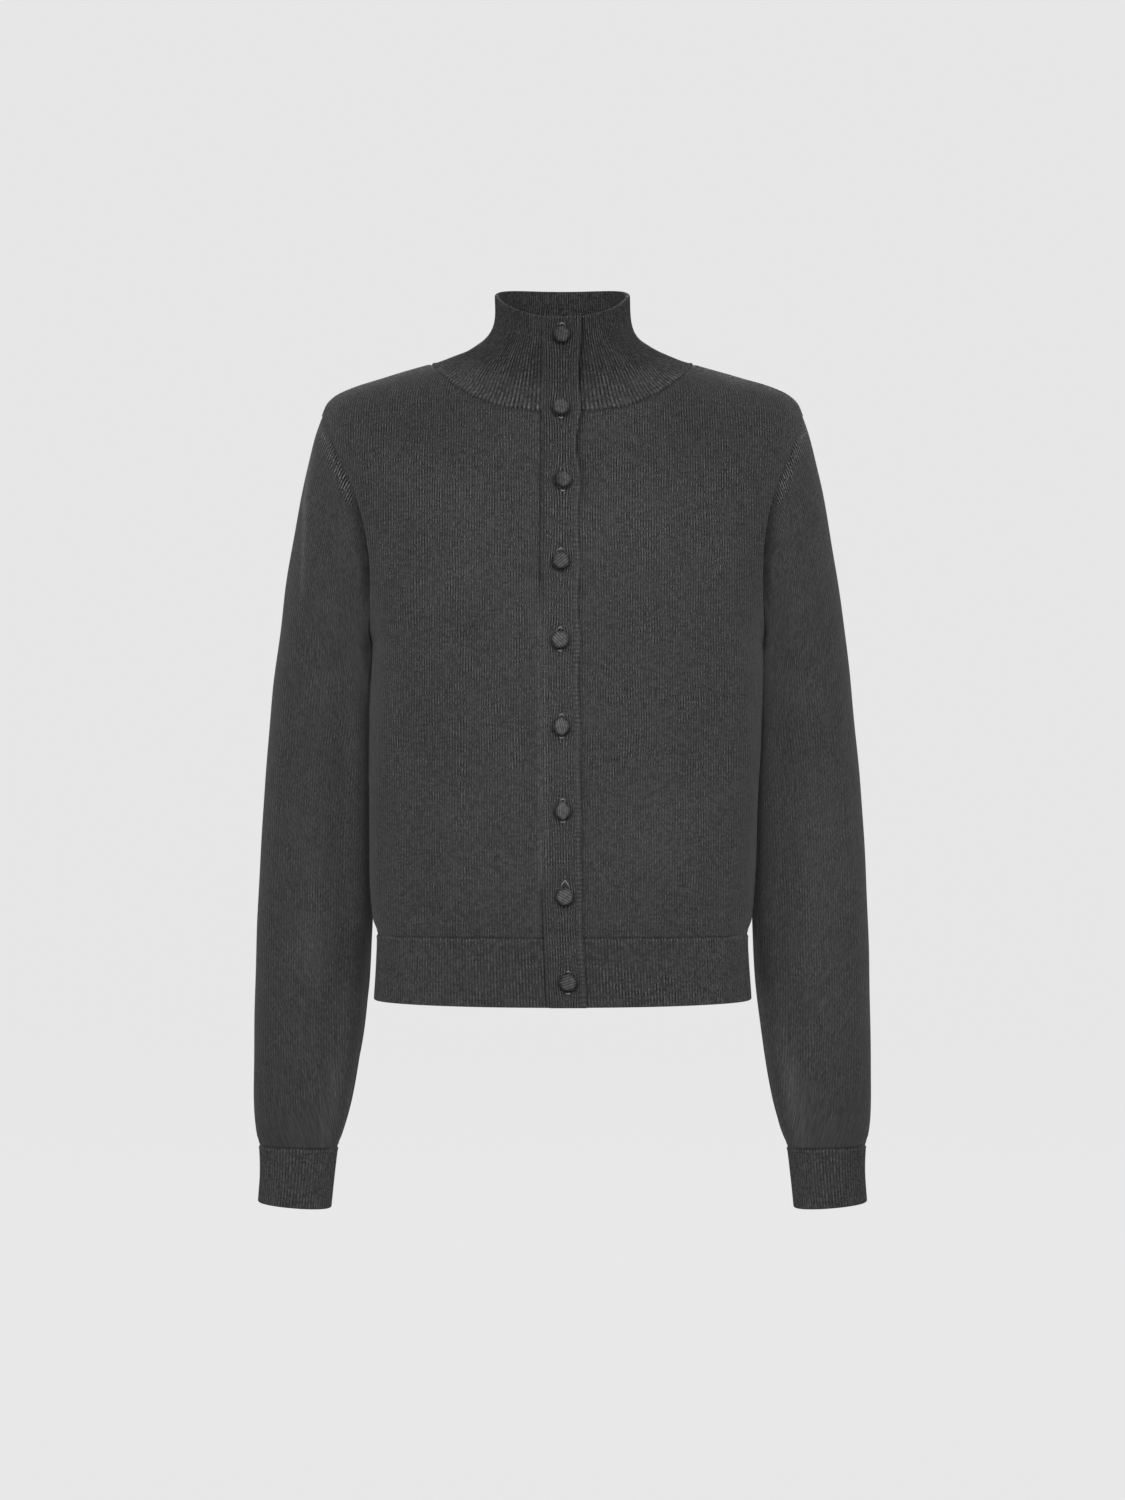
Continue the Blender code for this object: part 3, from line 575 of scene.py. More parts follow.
def shell(name, base, out, thickness, raised, under, across, up, tint, clarity=1.0, free=None,
          closed=False, keep=None, inside=None):
    """A wall of cloth between an outer and an inner skin of points in rows and columns. raised and
    under are the relief of the two skins, across and up are the knit's own coordinates,
    tint is the yarn's own tone with painted light and shade, clarity says how much
    its wales stand out, free is the distance to a free edge, which is rolled, closed says that the
    columns go all the way round, keep says which cells are cloth, and inside is the same for the
    inner skin."""
    rows, columns = base.shape[:2]
    full = np.ones((rows, columns))
    if free is not None:
        full = np.sqrt(np.clip(1 - (1 - np.clip(free / (thickness / 2), 0, 1)) ** 2, LEAST_ROLL, 1))
    half = (thickness / 2 * full)[..., None]
    middle = base - out * thickness / 2
    outer = middle + out * (half + (raised * full)[..., None])
    inner = middle - out * (half - (under * full)[..., None])
    places = np.concatenate((outer.reshape(-1, 3), inner.reshape(-1, 3)))
    if closed:
        across = np.hstack((across, 2 * across[:, -1:] - across[:, -2:-1]))
        up = np.hstack((up, up[:, :1]))
    cells = (rows - 1, columns if closed else columns - 1)
    keep = np.ones(cells, bool) if keep is None else keep
    row, column = np.nonzero(keep)
    corners = np.stack([(row + down) * columns + (column + on) % columns for down, on in CORNERS], axis=1)
    knit = np.stack((across, up), axis=-1)
    uv = np.stack([knit[row + down, column + on] for down, on in CORNERS], axis=1)
    # Walls join the two skins wherever a kept cell has no kept neighbour.
    padded = np.zeros((cells[0] + 2, cells[1] + 2), bool)
    padded[1:-1, 1:-1] = keep
    if closed:
        padded[:, 0], padded[:, -1] = padded[:, -2], padded[:, 1]
    size = rows * columns
    faces, texture = [corners, corners[:, ::-1] + size], [uv, uv[:, ::-1]]
    for first, (down, on) in enumerate(BEYOND):
        second = (first + 1) % len(CORNERS)
        bare = ~padded[row + 1 + down, column + 1 + on]
        a, b = corners[bare, first], corners[bare, second]
        faces.append(np.stack((b, a, a + size, b + size), axis=1))
        near, far = uv[bare, first], uv[bare, second]
        texture.append(np.stack((far, near, near, far), axis=1))
    faces, texture = np.concatenate(faces), np.concatenate(texture)
    a, b, c = (places[corners[:, k]] for k in (0, 1, 3))
    facing = (np.cross(b - a, c - a) * out.reshape(-1, 3)[corners[:, 0]]).sum()
    if facing < 0:
        faces, texture = faces[:, ::-1], texture[:, ::-1]
    used = np.unique(faces)
    number = np.zeros(len(places), int)
    number[used] = np.arange(len(used))
    inside = np.minimum(tint, 1) if inside is None else inside
    clarity = np.broadcast_to(clarity, tint.shape)
    shade, clear = (
        np.concatenate((skin.ravel(), other.ravel()))[used]
        for skin, other in ((tint, inside), (clarity, clarity))
    )
    return knit_mesh(name, places[used].tolist(), number[faces].tolist(), texture, shade, clear)


def knit_mesh(name, places, faces, uv, tint, clarity):
    """A smooth mesh with the knit's coordinates at its faces' corners, its tone and painted light, and
    clarity.
    """
    mesh = bpy.data.meshes.new(name)
    mesh.from_pydata(places, [], faces)
    mesh.uv_layers.new(name="Knit").data.foreach_set("uv", uv.reshape(-1).astype(np.float32))
    for field, values in (("tint", tint), ("clarity", clarity)):
        mesh.attributes.new(field, "FLOAT", "POINT").data.foreach_set("value", values.astype(np.float32))
    mesh.shade_smooth()
    mesh.validate()
    return mesh


def add_piece(mesh, finish, *nodes):
    """A piece of the cardigan in its finish, which stands for its nodes where it has any."""
    piece = bpy.data.objects.new(mesh.name, mesh)
    bpy.context.scene.collection.objects.link(piece)
    mesh.materials.append(finish.material)
    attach(piece, BODY)
    if nodes:
        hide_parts(*nodes)
    return piece


def knit_sheet(node, finish, rests_on, base, *knit, closed=False, **edges):
    """A sheet of knit that stands for its node."""
    mesh = shell(f"{node}_knit", base, *knit, closed=closed, **edges)
    piece = add_piece(mesh, finish, node)


# ------------------------------------------------------------------ the knitted pieces
def settings():
    """The sizes and colours chosen in the sidebar."""
    return bpy.context.scene.button_cardigan


# A panel of the body: the turn that its rows are spaced at, how far apart its rows and its columns are,
# about how wide it is, its soft folds, how high and how wide its uneven places are, the seed of its
# random draws, and what it rests on.
Panel = namedtuple("Panel", "turn row_step step width folds uneven patch seed rests_on")
PANELS = {
    "left": Panel(0.45, 2.6 * MM, 2.5 * MM, 0.17, FRONT_FOLDS, 0.35 * MM, 0.055, 3, ["back", "collar"]),
    "right": Panel(0.45, 2.6 * MM, 2.5 * MM, 0.17, FRONT_FOLDS, 0.35 * MM, 0.055, 4, ["back", "collar"]),
    "back": Panel(1.6, 3.1 * MM, 3.1 * MM, 0.34, BACK_FOLDS, 0.5 * MM, 0.06, 5, ["collar"]),
}
LIMITS = {
    "left": (0, LEFT_SIDE), "right": (RIGHT_SIDE, ROUND), "back": (LEFT_SIDE + BEHIND, RIGHT_SIDE - BEHIND),
}


def torso_grid(rows, places_of, limits):
    """The form and its ways out over rows of turns. places_of gives one row's turns."""
    turns = np.array([places_of(row) for row in rows])
    base = np.array([torso(row, turns[k]) for k, row in enumerate(rows)])
    out = np.array([torso_out(row, turns[k], limits) for k, row in enumerate(rows)])
    return turns, base, out


def panel_grid(which, rows, shares):
    """The form and its ways out over a front, from its band to its side, or over the back."""
    def places(row):
        start, end = LIMITS[which]
        if which == "left":
            start = band_edge(row, True)
        elif which == "right":
            start, end = ROUND + band_edge(row, False), RIGHT_SIDE
        return start + shares * (end - start)
    return torso_grid(rows, places, LIMITS[which])


def torso_aside(rows, turns):
    """How far each place is to the wearer's left of the centre front or, behind, the centre back."""
    aside = np.empty(turns.shape)
    for k, row in enumerate(rows):
        at = turns[k]
        front, behind = row_length(row), row_length(row, False)
        aside[k] = np.where(at <= LEFT_SIDE, at * front,
                            np.where(at >= RIGHT_SIDE, (at - ROUND) * front, (BACK - at) * behind))
    return aside


def seam_sink(distance, depth=0.55, width=1.1):
    """The groove beside a seam."""
    return -MM * depth * hump(distance, MM * width)


def side_bulge(by_side, z):
    """The fullness of the body's sides below the underarm."""
    return 0.7 * MM * hump(by_side, 12 * MM) * higher(z, -360, 50)


def painted_side_shade(by_side, z):
    """The painted shade on the body's sides below the underarm, where the sleeves hang against them."""
    return 0.3 * hump(by_side - 24 * MM, 22 * MM) * lower(z, -220, 30) * higher(z, -456, 20)


def collar_shadow(by_collar, aside, seed):
    """The uneven dark of a linked collar's seam."""
    return (0.22 + 0.12 * drift(aside, 0 * aside, seed + 90, 0.012)) * hump(by_collar - 0.4 * MM, 1.4 * MM)


def hanging(base, across, start):
    """The knit's coordinate across wales that hang straight down, from a column where it is across. The
    wales spread where the cloth turns away to the side, but not without end."""
    steps = np.diff(across, axis=1)
    plumb = np.maximum(np.abs(np.diff(base[..., 0], axis=1)), LEAST_SLANT * np.abs(steps))
    total = np.hstack((np.zeros((len(base), 1)), np.cumsum(plumb * np.sign(steps), axis=1)))
    return total - total[:, start:start + 1] + across[:, start:start + 1]


def edge_shadow(rows, aside):
    """The dark beside the buttonhole band's free edge, on the cloth below it. It is wider higher up."""
    edge = np.array([band_middle(row) + free_edge(length_at(row)) for row in rows])[:, None]
    high = smooth((np.asarray(rows) - WIDER_FROM_ROW) / 1.5)[:, None]
    return (0.16 + 0.26 * high) * hump(aside - edge - (0.3 + 0.5 * high) * MM, (0.9 + 1.3 * high) * MM)


def wandering(across, up, seed):
    """The knit's coordinate across its wales, where they don't hang quite straight."""
    return across + 0.5 * MM * drift(across, up / 2.5, seed + 30, 0.014)


def edge_distances(base):
    """How far each point is from its piece's first and last column, and first and last row."""
    from_left, from_start = lengths_across(base), lengths_down(base)
    return from_left, from_left[:, -1:] - from_left, from_start, from_start[-1:] - from_start


def wale_clarity(z):
    """How much the wales of the body stand out at a height: most at the chest, where they are stretched."""
    return 0.52 + 0.17 * higher(z, -380, 80) + 0.2 * higher(z, -200, 100)


def chained(z):
    """How much the band's line of chain stitches stands out at a height."""
    return LEAST_CHAINED + (1 - LEAST_CHAINED) * lower(z, -170, 50) * higher(z, -440, 50)


def make_panel(which, finish):
    """A front or the back, from the hem's rib to the collar and the shoulders."""
    panel = PANELS[which]
    rows = rows_between(RIB_SEAM_ROW, COLLAR_ROW, panel.turn, panel.row_step, SEAM_EDGE, SEAM_EDGE)
    shares = spaced(panel.width, panel.step, SEAM_EDGE, SEAM_EDGE) / panel.width
    turns, base, out = panel_grid(which, rows, shares)
    aside = torso_aside(rows, turns)
    up = up_the_wales(base, aside)
    by_first, by_last, by_hem, by_collar = edge_distances(base)
    x, z = base[..., 0], base[..., 2]
    is_front, seed = which != "back", panel.seed
    by_side = by_last if is_front else np.minimum(by_first, by_last)
    smoothed = np.minimum(by_first, by_hem) if is_front else by_hem
    raised = folded(x, z, panel.folds) + panel.uneven * drift(x, z, seed, panel.patch)
    raised *= smooth(smoothed / FOLDS_FROM_EDGE)
    raised += side_bulge(by_side, z) + seam_sink(by_side, 0.25, 1.2) + seam_sink(by_hem, 0.4, 1.0)
    raised += seam_sink(by_collar, 0.45, 1.2)
    tint = 1 + 0.035 * drift(x, z, seed + 50, 0.045) - collar_shadow(by_collar, aside, seed)
    tint -= 0.14 * hump(by_hem, 1.1 * MM) + painted_side_shade(by_side, z)
    if is_front:
        raised += seam_sink(by_first, 0.2, 1.0)
        # Painted patches of light and shade, and painted light just above the hem, where the cloth slopes
        # down.
        tint += painted_patches(x, z, FRONT_PAINTED_PATCHES) + 0.1 * hump(by_hem - 8 * MM, 6 * MM)
        # Painted light in a band about 72 mm in from the side, below the chest.
        tint += 0.08 * hump(by_side - 72 * MM, 26 * MM) * lower(z, -150, 50)
    if which == "left":
        tint -= edge_shadow(rows, aside)
    elif which == "right":
        tint += 0.58 * (chained(z) - LEAST_CHAINED) * hump(by_first - 1.0 * MM, 2.0 * MM)
        tint -= 0.8 * (1 - chained(z)) * hump(by_first - 1.2 * MM, 0.8 * MM)
    clarity = wale_clarity(z) + 0.2 * drift(x, z, seed + 70, 0.02)
    plumb = 0 if is_front else len(shares) // 2
    across = wandering(hanging(base, aside, plumb), up, seed)
    node = f"front_{which}" if is_front else "back"
    knit_sheet(node, finish, panel.rests_on, base, out, settings().plain_thickness, raised, raised,
               across, up, tint, clarity)


def ribbed(number, depth):
    """The outer and inner relief of a one-and-one rib, where number counts ribs. The outer one stands
    up on whole numbers, and the inner one between them."""
    outer = depth * (np.abs(np.cos(np.pi * number)) ** RIB_ROUNDNESS - RIB_LEVEL)
    inner = -depth * (np.abs(np.sin(np.pi * number)) ** RIB_ROUNDNESS - RIB_LEVEL)
    return outer, inner


def rib_shares(width):
    """Shares across a ribbed piece, with a few places on each rib, and its number of ribs."""
    ribs = int(round(width / settings().rib_width))
    return np.linspace(0, 1, ribs * PLACES_ON_RIB + 1), ribs


def hem_relief(number, by_start, by_seam, furrow_shade):
    """The relief, and the tone with painted shade, of a rib that ends in a free edge and is linked on at
    the other end. furrow_shade says how much painted shade darkens its furrows."""
    outer, inner = ribbed(number, settings().rib_depth)
    fade = smooth((by_seam - 0.6 * MM) / (2.2 * MM))
    stitch = hump(by_seam - 2.3 * MM, 0.9 * MM)
    crest = np.cos(np.pi * number) ** 2
    outer = outer * fade + seam_sink(by_seam, 0.6, 1.0) + 0.3 * MM * stitch * crest
    seam_dark = 0.36 + 0.12 * drift(number, by_seam, 17, 5)
    tint = 1 - seam_dark * hump(by_seam, 1.1 * MM) + 0.45 * stitch * crest
    # Painted shade in the furrows between the ribs.
    tint = tint * (1 - 0.7 * furrow_shade + furrow_shade * crest) + 0.16 * hump(by_start, 1.4 * MM)
    return outer, inner * fade, tint


def make_hem(which, finish):
    """The ribbed hem under one front or under the back."""
    behind = which == "back"
    width = 2 * row_length(HEM_MIDDLE_ROW, False) if behind else row_length(HEM_MIDDLE_ROW) - 12 * MM
    shares, ribs = rib_shares(width)
    turn = 1.5 if behind else 0.5
    rows = rows_between(HEM_ROW, RIB_SEAM_ROW, turn, RIB_STEP, FREE_EDGE, STITCHED_EDGE)
    turns, base, out = panel_grid(which, rows, shares)
    by_first, by_last, by_start, by_seam = edge_distances(base)
    x, z = base[..., 0], base[..., 2]
    number = np.broadcast_to(shares * ribs, turns.shape)
    raised, under, tint = hem_relief(number, by_start, by_seam, 0.06)
    wavy = 0.35 * MM * drift(x, z, 11, 0.03)
    raised, under = raised + wavy, under + wavy
    raised += seam_sink(np.minimum(by_first, by_last), 0.5, 1.0)
    if which == "left":
        tint = tint - 2 * edge_shadow(rows, turns * row_length(HEM_MIDDLE_ROW))
    elif which == "right":
        tint = tint - 0.45 * hump(by_first - 1.2 * MM, 0.8 * MM)
    clarity = 0.85 + 0.4 * drift(x, z, 81, 0.025)
    panel = "back" if behind else f"front_{which}"
    knit_sheet(f"hem_rib_{panel}", finish, [panel], base, out, settings().rib_thickness, raised, under,
               number * settings().rib_width, by_start, tint, clarity, free=by_start)


def make_collar(finish):
    """The ribbed funnel collar, from the left front band by the back to the right one."""
    rows = rows_between(COLLAR_ROW, TOP_ROW, 0.5, COLLAR_STEP, STITCHED_EDGE, FREE_EDGE)
    front, behind = row_length(COLLAR_MIDDLE_ROW), 2 * row_length(COLLAR_MIDDLE_ROW, False)
    left, left_ribs = rib_shares(front - UNDER_BAND[1])
    back, back_ribs = rib_shares(behind)
    right, right_ribs = rib_shares(front - BAND_WIDTH / 2)
    number = np.concatenate((
        left[:-1] * left_ribs, left_ribs + back * back_ribs,
        left_ribs + back_ribs + right[1:] * right_ribs,
    ))

    def places(row):
        start, end = band_edge(row, True), ROUND + band_edge(row, False)
        return np.concatenate((
            start + left[:-1] * (LEFT_SIDE - start),
            LEFT_SIDE + BEHIND + back * (RIGHT_SIDE - LEFT_SIDE - 2 * BEHIND),
            RIGHT_SIDE + right[1:] * (end - RIGHT_SIDE),
        ))
    turns, base, out = torso_grid(rows, places, (0, ROUND))
    _, _, by_seam, by_top = edge_distances(base)
    x, y, z = (base[..., k] for k in range(3))
    number = np.broadcast_to(number, turns.shape)
    raised, under, tint = hem_relief(number, by_top, by_seam, 0.26)
    wavy = 0.5 * MM * drift(x + y, z, 21, 0.03) * smooth(by_seam / (12 * MM))
    raised, under = raised + wavy, under + wavy
    raised += 0.5 * MM * hump(by_seam - 3 * MM, 1.6 * MM)
    # Painted shade on the upright collar, and painted light where its ribs flare out above the seam.
    upright = smooth((by_seam - 17 * MM) / (16 * MM))
    tint = tint * (1 - COLLAR_PAINTED_SHADE * upright) + 0.1 * hump(by_seam - 4.5 * MM, 2.6 * MM)
    aside = turns * np.array([row_length(row) for row in rows])[:, None]
    tint = tint + 0.05 * drift(number * 0.01, z, 22, 0.02) - edge_shadow(rows, aside)
    clarity = 1.0 + 0.7 * upright + 0.3 * drift(number * 0.004, z, 82, 0.02)
    # Painted shade darkens the inside, less at the back and less on the ribs' crests.
    inside = 0.6 + 0.22 * hump(turns - BACK, 0.35) + 0.16 * np.cos(np.pi * number) ** 2
    knit_sheet("collar", finish, ["back", "front_left", "front_right"], base, out,
               settings().rib_thickness, raised, under, number * settings().rib_width, by_seam, tint,
               clarity, free=by_top, inside=inside)


def sleeve_rings(first, last, step, start, end):
    """Rings of a sleeve, spaced along its front."""
    rings = np.linspace(first, last, SAMPLES_IN_ROW * int(last - first) + 1)
    along = lengths_down(sleeve_grid(rings, np.array((0.6,)))[0])[:, 0]
    return np.interp(spaced(along[-1], step, start, end), along, rings)


def put_on_side(base, out, rings, turns, left):
    """A left sleeve's grid moved to its side of the body, with the body's sway."""
    if not left:
        base, out = base * (-1, 1, 1), out * (-1, 1, 1)
    base = base.copy()
    base[..., 0] += sleeve_sway(rings, turns)
    return base, out


def beside_armhole(form):
    """How far, seen square on, each place of a sleeve is from its armhole."""
    seam = form[0][:, (0, 2)]
    places = form[..., (0, 2)]
    return np.min([np.linalg.norm(places - point, axis=-1) for point in seam], axis=0)


def sleeve_across(form, across):
    """The knit's coordinate across a sleeve's wales, which hang straight down from its outside."""
    half = across.shape[1] // 2 + 1
    front = hanging(form[:, :half], np.abs(across[:, :half]), 0)
    back = hanging(form[:, ::-1][:, :half - 1], np.abs(across[:, ::-1][:, :half - 1]), 0)
    return np.hstack((front, -back[:, :across.shape[1] - half][:, ::-1]))


def make_sleeve(side, finish):
    """One sleeve, from the armhole to the cuff."""
    left = side == "left"
    seed, shift = (31, 0) if left else (32, 9 * MM)
    rings = sleeve_rings(0, CUFF_RING, SLEEVE_STEP, HEAD_EDGE, SEAM_EDGE)
    turns = np.linspace(0, ROUND, SLEEVE_COLUMNS + 1)[:-1]
    form, out = sleeve_grid(rings, turns)
    x, z = form[..., 0], form[..., 2]
    by_head = lengths_down(form)
    by_cuff = by_head[-1:] - by_head
    girth = lengths_across(np.concatenate((form, form[:, :1]), axis=1))
    from_outside, half = girth[:, :-1], girth[:, -1:] / 2
    across = np.where(from_outside > half, from_outside - 2 * half, from_outside)
    turn = np.broadcast_to(turns, across.shape)
    from_shoulder = np.minimum(turn, ROUND - turn)

    # The relief: soft folds, the fullness of the head, the seams and the gathered cloth at the underarm.
    facing = np.where(turn <= 2, 1.0, 0.85) * np.abs(np.sin(np.pi / 2 * turn)) ** 0.6
    raised = folded(x + 0.4 * shift, z - shift, SLEEVE_FOLDS) * facing
    raised += 0.45 * MM * drift(across, z, seed, 0.05)
    raised *= smooth(np.minimum(by_head, by_cuff) / (22 * MM))
    low = smooth((from_shoulder - 0.6) / 0.45)
    raised += 0.7 * MM * hump(from_shoulder - 0.48, 0.3) * hump(by_head - 5.0 * MM, 2.6 * MM)
    raised += (0.15 + 0.95 * low) * seam_sink(by_head, 1.1, 1.6) + seam_sink(by_cuff, 0.5, 1.1)
    raised += seam_sink(np.abs(from_outside - half), 0.15, 1.0)
    gathered = smooth(by_head / (8 * MM)) * smooth((115 * MM - by_head) / (40 * MM))
    raised += 1.2 * MM * hump(turn - 2, 0.4) * gathered
    gathered = smooth(by_head / (5 * MM)) * hump(by_head - 12 * MM, 13 * MM)
    raised += 1.5 * MM * hump(turn - 2, 0.5) * gathered

    # The shade: darker lower down, and painted light and shade in patches and by the body, armhole and rim.
    tint = 0.975 - 0.05 * lower(z, -400, 100) + 0.03 * drift(across, z, seed + 50, 0.04)
    in_front = 0.5 + 0.5 * np.tanh(6 * np.sin(np.pi / 2 * turn))
    tint += painted_patches(x, z, SLEEVE_PAINTED_PATCHES[side]) * in_front
    below = lower(z, -170, 40)
    # Painted light on the side towards the body, and painted shade at the underarm; the cuff's seam is
    # dark.
    tint += 0.1 * hump(turn - 1.2, 0.3) * smooth(by_head / (20 * MM))
    lift = INNER_PAINTED_LIGHT * (0.75 if left else 1) * (1 - 0.4 * lower(z, -300, 100))
    tint += lift * hump(turn - 1.47, 0.16) * below
    tint -= 0.22 * hump(turn - 2, 0.14) + 0.3 * hump(by_cuff, 1.1 * MM)
    # Painted shade in the crevice beside the armhole and, lower down, beside the body.
    beside = beside_armhole(form)
    deep = lower(z, -50, 100)
    tint -= 0.5 * deep * hump(beside - 2.8 * deep * MM, 5 * MM)
    tint -= 0.5 * smooth((from_shoulder - 1.58) / 0.16) * higher(z, -500, 50) * below
    # A painted highlight along the ridge beside the armhole, where the stitches also stand out more.
    streak = lower(z, -40, 20) * higher(z, -130, 30) * hump(beside - 5.5 * MM, 3.6 * MM)
    rim_end = -200 if left else -340
    tint += 0.24 * streak
    # A painted highlight on the outer rim, reaching lower on the right sleeve.
    tint += hump(from_shoulder, 0.34) * (0.05 + 0.22 * higher(z, rim_end, 100))
    clarity = 0.42 + 1.8 * streak + 0.15 * drift(across, z, seed + 70, 0.03)
    clarity *= 1 - 0.8 * smooth(1 - by_cuff / (50 * MM))

    base, out = put_on_side(form, out, rings, turns, left)
    knit_sheet(f"sleeve_{side}", finish, ["back", f"front_{side}"], base, out,
               settings().plain_thickness, raised, raised,
               wandering(sleeve_across(form, across), by_head, seed), by_head, tint, clarity, closed=True)


def make_cuff(side, finish):
    """One ribbed cuff."""
    left = side == "left"
    rings = sleeve_rings(CUFF_RING, WRIST_RING, RIB_STEP, STITCHED_EDGE, FREE_EDGE)
    middle = sleeve_grid(np.array((CUFF_MIDDLE_RING,)), np.linspace(0, ROUND, 97))[0][0]
    shares, ribs = rib_shares(lengths_down(middle)[-1])
    turns = ROUND * shares[:-1]
    form, out = sleeve_grid(rings, turns)
    by_seam = lengths_down(form)
    by_wrist = by_seam[-1:] - by_seam
    number = np.broadcast_to(shares[:-1] * ribs, by_seam.shape)
    raised, under, tint = hem_relief(number, by_wrist, by_seam, 0.12)
    tint = tint - (0.2 if left else 0.06) * hump(np.broadcast_to(turns, tint.shape) - 0.55, 0.3)
    base, out = put_on_side(form, out, rings, turns, left)
    knit_sheet(f"cuff_{side}", finish, [f"sleeve_{side}"], base, out, settings().rib_thickness, raised,
               under, number * settings().rib_width, by_wrist, tint, 0.85, free=by_wrist, closed=True)


# ------------------------------------------------------------------ front bands, buttons and yarn
def band_grid(lengths, columns_of, lift_of):
    """A band's form over lengths up the button line. Its columns are distances from that line."""
    base, out, across = [], [], []
    for length in lengths:
        row = row_at(length)
        aside = columns_of(length)
        turns = (band_middle(row) + aside) / row_length(row)
        ways = torso_out(row, turns, (-1.0, 1.0))
        base.append(torso(row, turns) + lift_of(aside)[:, None] * ways)
        out.append(ways)
        across.append(aside)
    return np.array(base), np.array(out), np.array(across)


def pushed_aside(across, lengths):
    """Where a wale that now lies at a distance across came from: buttons push the wales apart."""
    came = across.copy()
    for centre in button_lengths():
        near = hump(lengths - centre, 10 * MM)[:, None]
        aside = across - button_aside(centre)
        came -= 2.6 * MM * near * np.tanh(aside / (3 * MM)) * hump(aside, 9 * MM)
    return came


# How far the buttonhole band's columns are from its seam and from its free edge, close together at
# both, and how many are between its seam and its buttonholes, and from those to its selvedge.
BAND_SEAM = MM * np.array((0, 0.5, 1.0, 1.5, 2.0, 2.6, 3.3))
SELVEDGE = MM * np.array((0, 0.15, 0.45, 0.9, 1.5, 2.2, 3.0, 3.8, 4.6, 5.5))
SEAM_END, SELVEDGE_START = 4.1 * MM, 6.4 * MM
BEFORE_HOLE, BEYOND_HOLE = 11, 5
HOLE_COLUMN = len(BAND_SEAM) + BEFORE_HOLE


def make_button_band(finish):
    """The button band, level with the fronts."""
    total = front_line()[1][-1]
    lengths = spaced(total, 4 * MM, FREE_EDGE, FREE_EDGE)
    columns = np.linspace(*UNDER_BAND, 15)
    base, out, across = band_grid(lengths, lambda length: columns, lambda aside: 0 * aside)
    up = np.broadcast_to(lengths[:, None], across.shape)
    level = np.zeros(across.shape)
    knit_sheet("button_band", finish, ["front_left", "collar"], base, out, settings().band_thickness,
               level, level, across, up, level + 1, free=np.minimum(up, total - up))


def hole_band_columns(length):
    """Distances from the button line to the buttonhole band's columns, from its seam to its free edge."""
    middle, edge = button_aside(length), free_edge(length)
    half, slit = BAND_WIDTH / 2, BUTTONHOLE_WIDTH / 2
    return np.concatenate((
        BAND_SEAM - half, np.linspace(SEAM_END - half, middle - slit, BEFORE_HOLE), (middle,),
        np.linspace(middle + slit, edge - SELVEDGE_START, BEYOND_HOLE), edge - SELVEDGE[::-1],
    ))


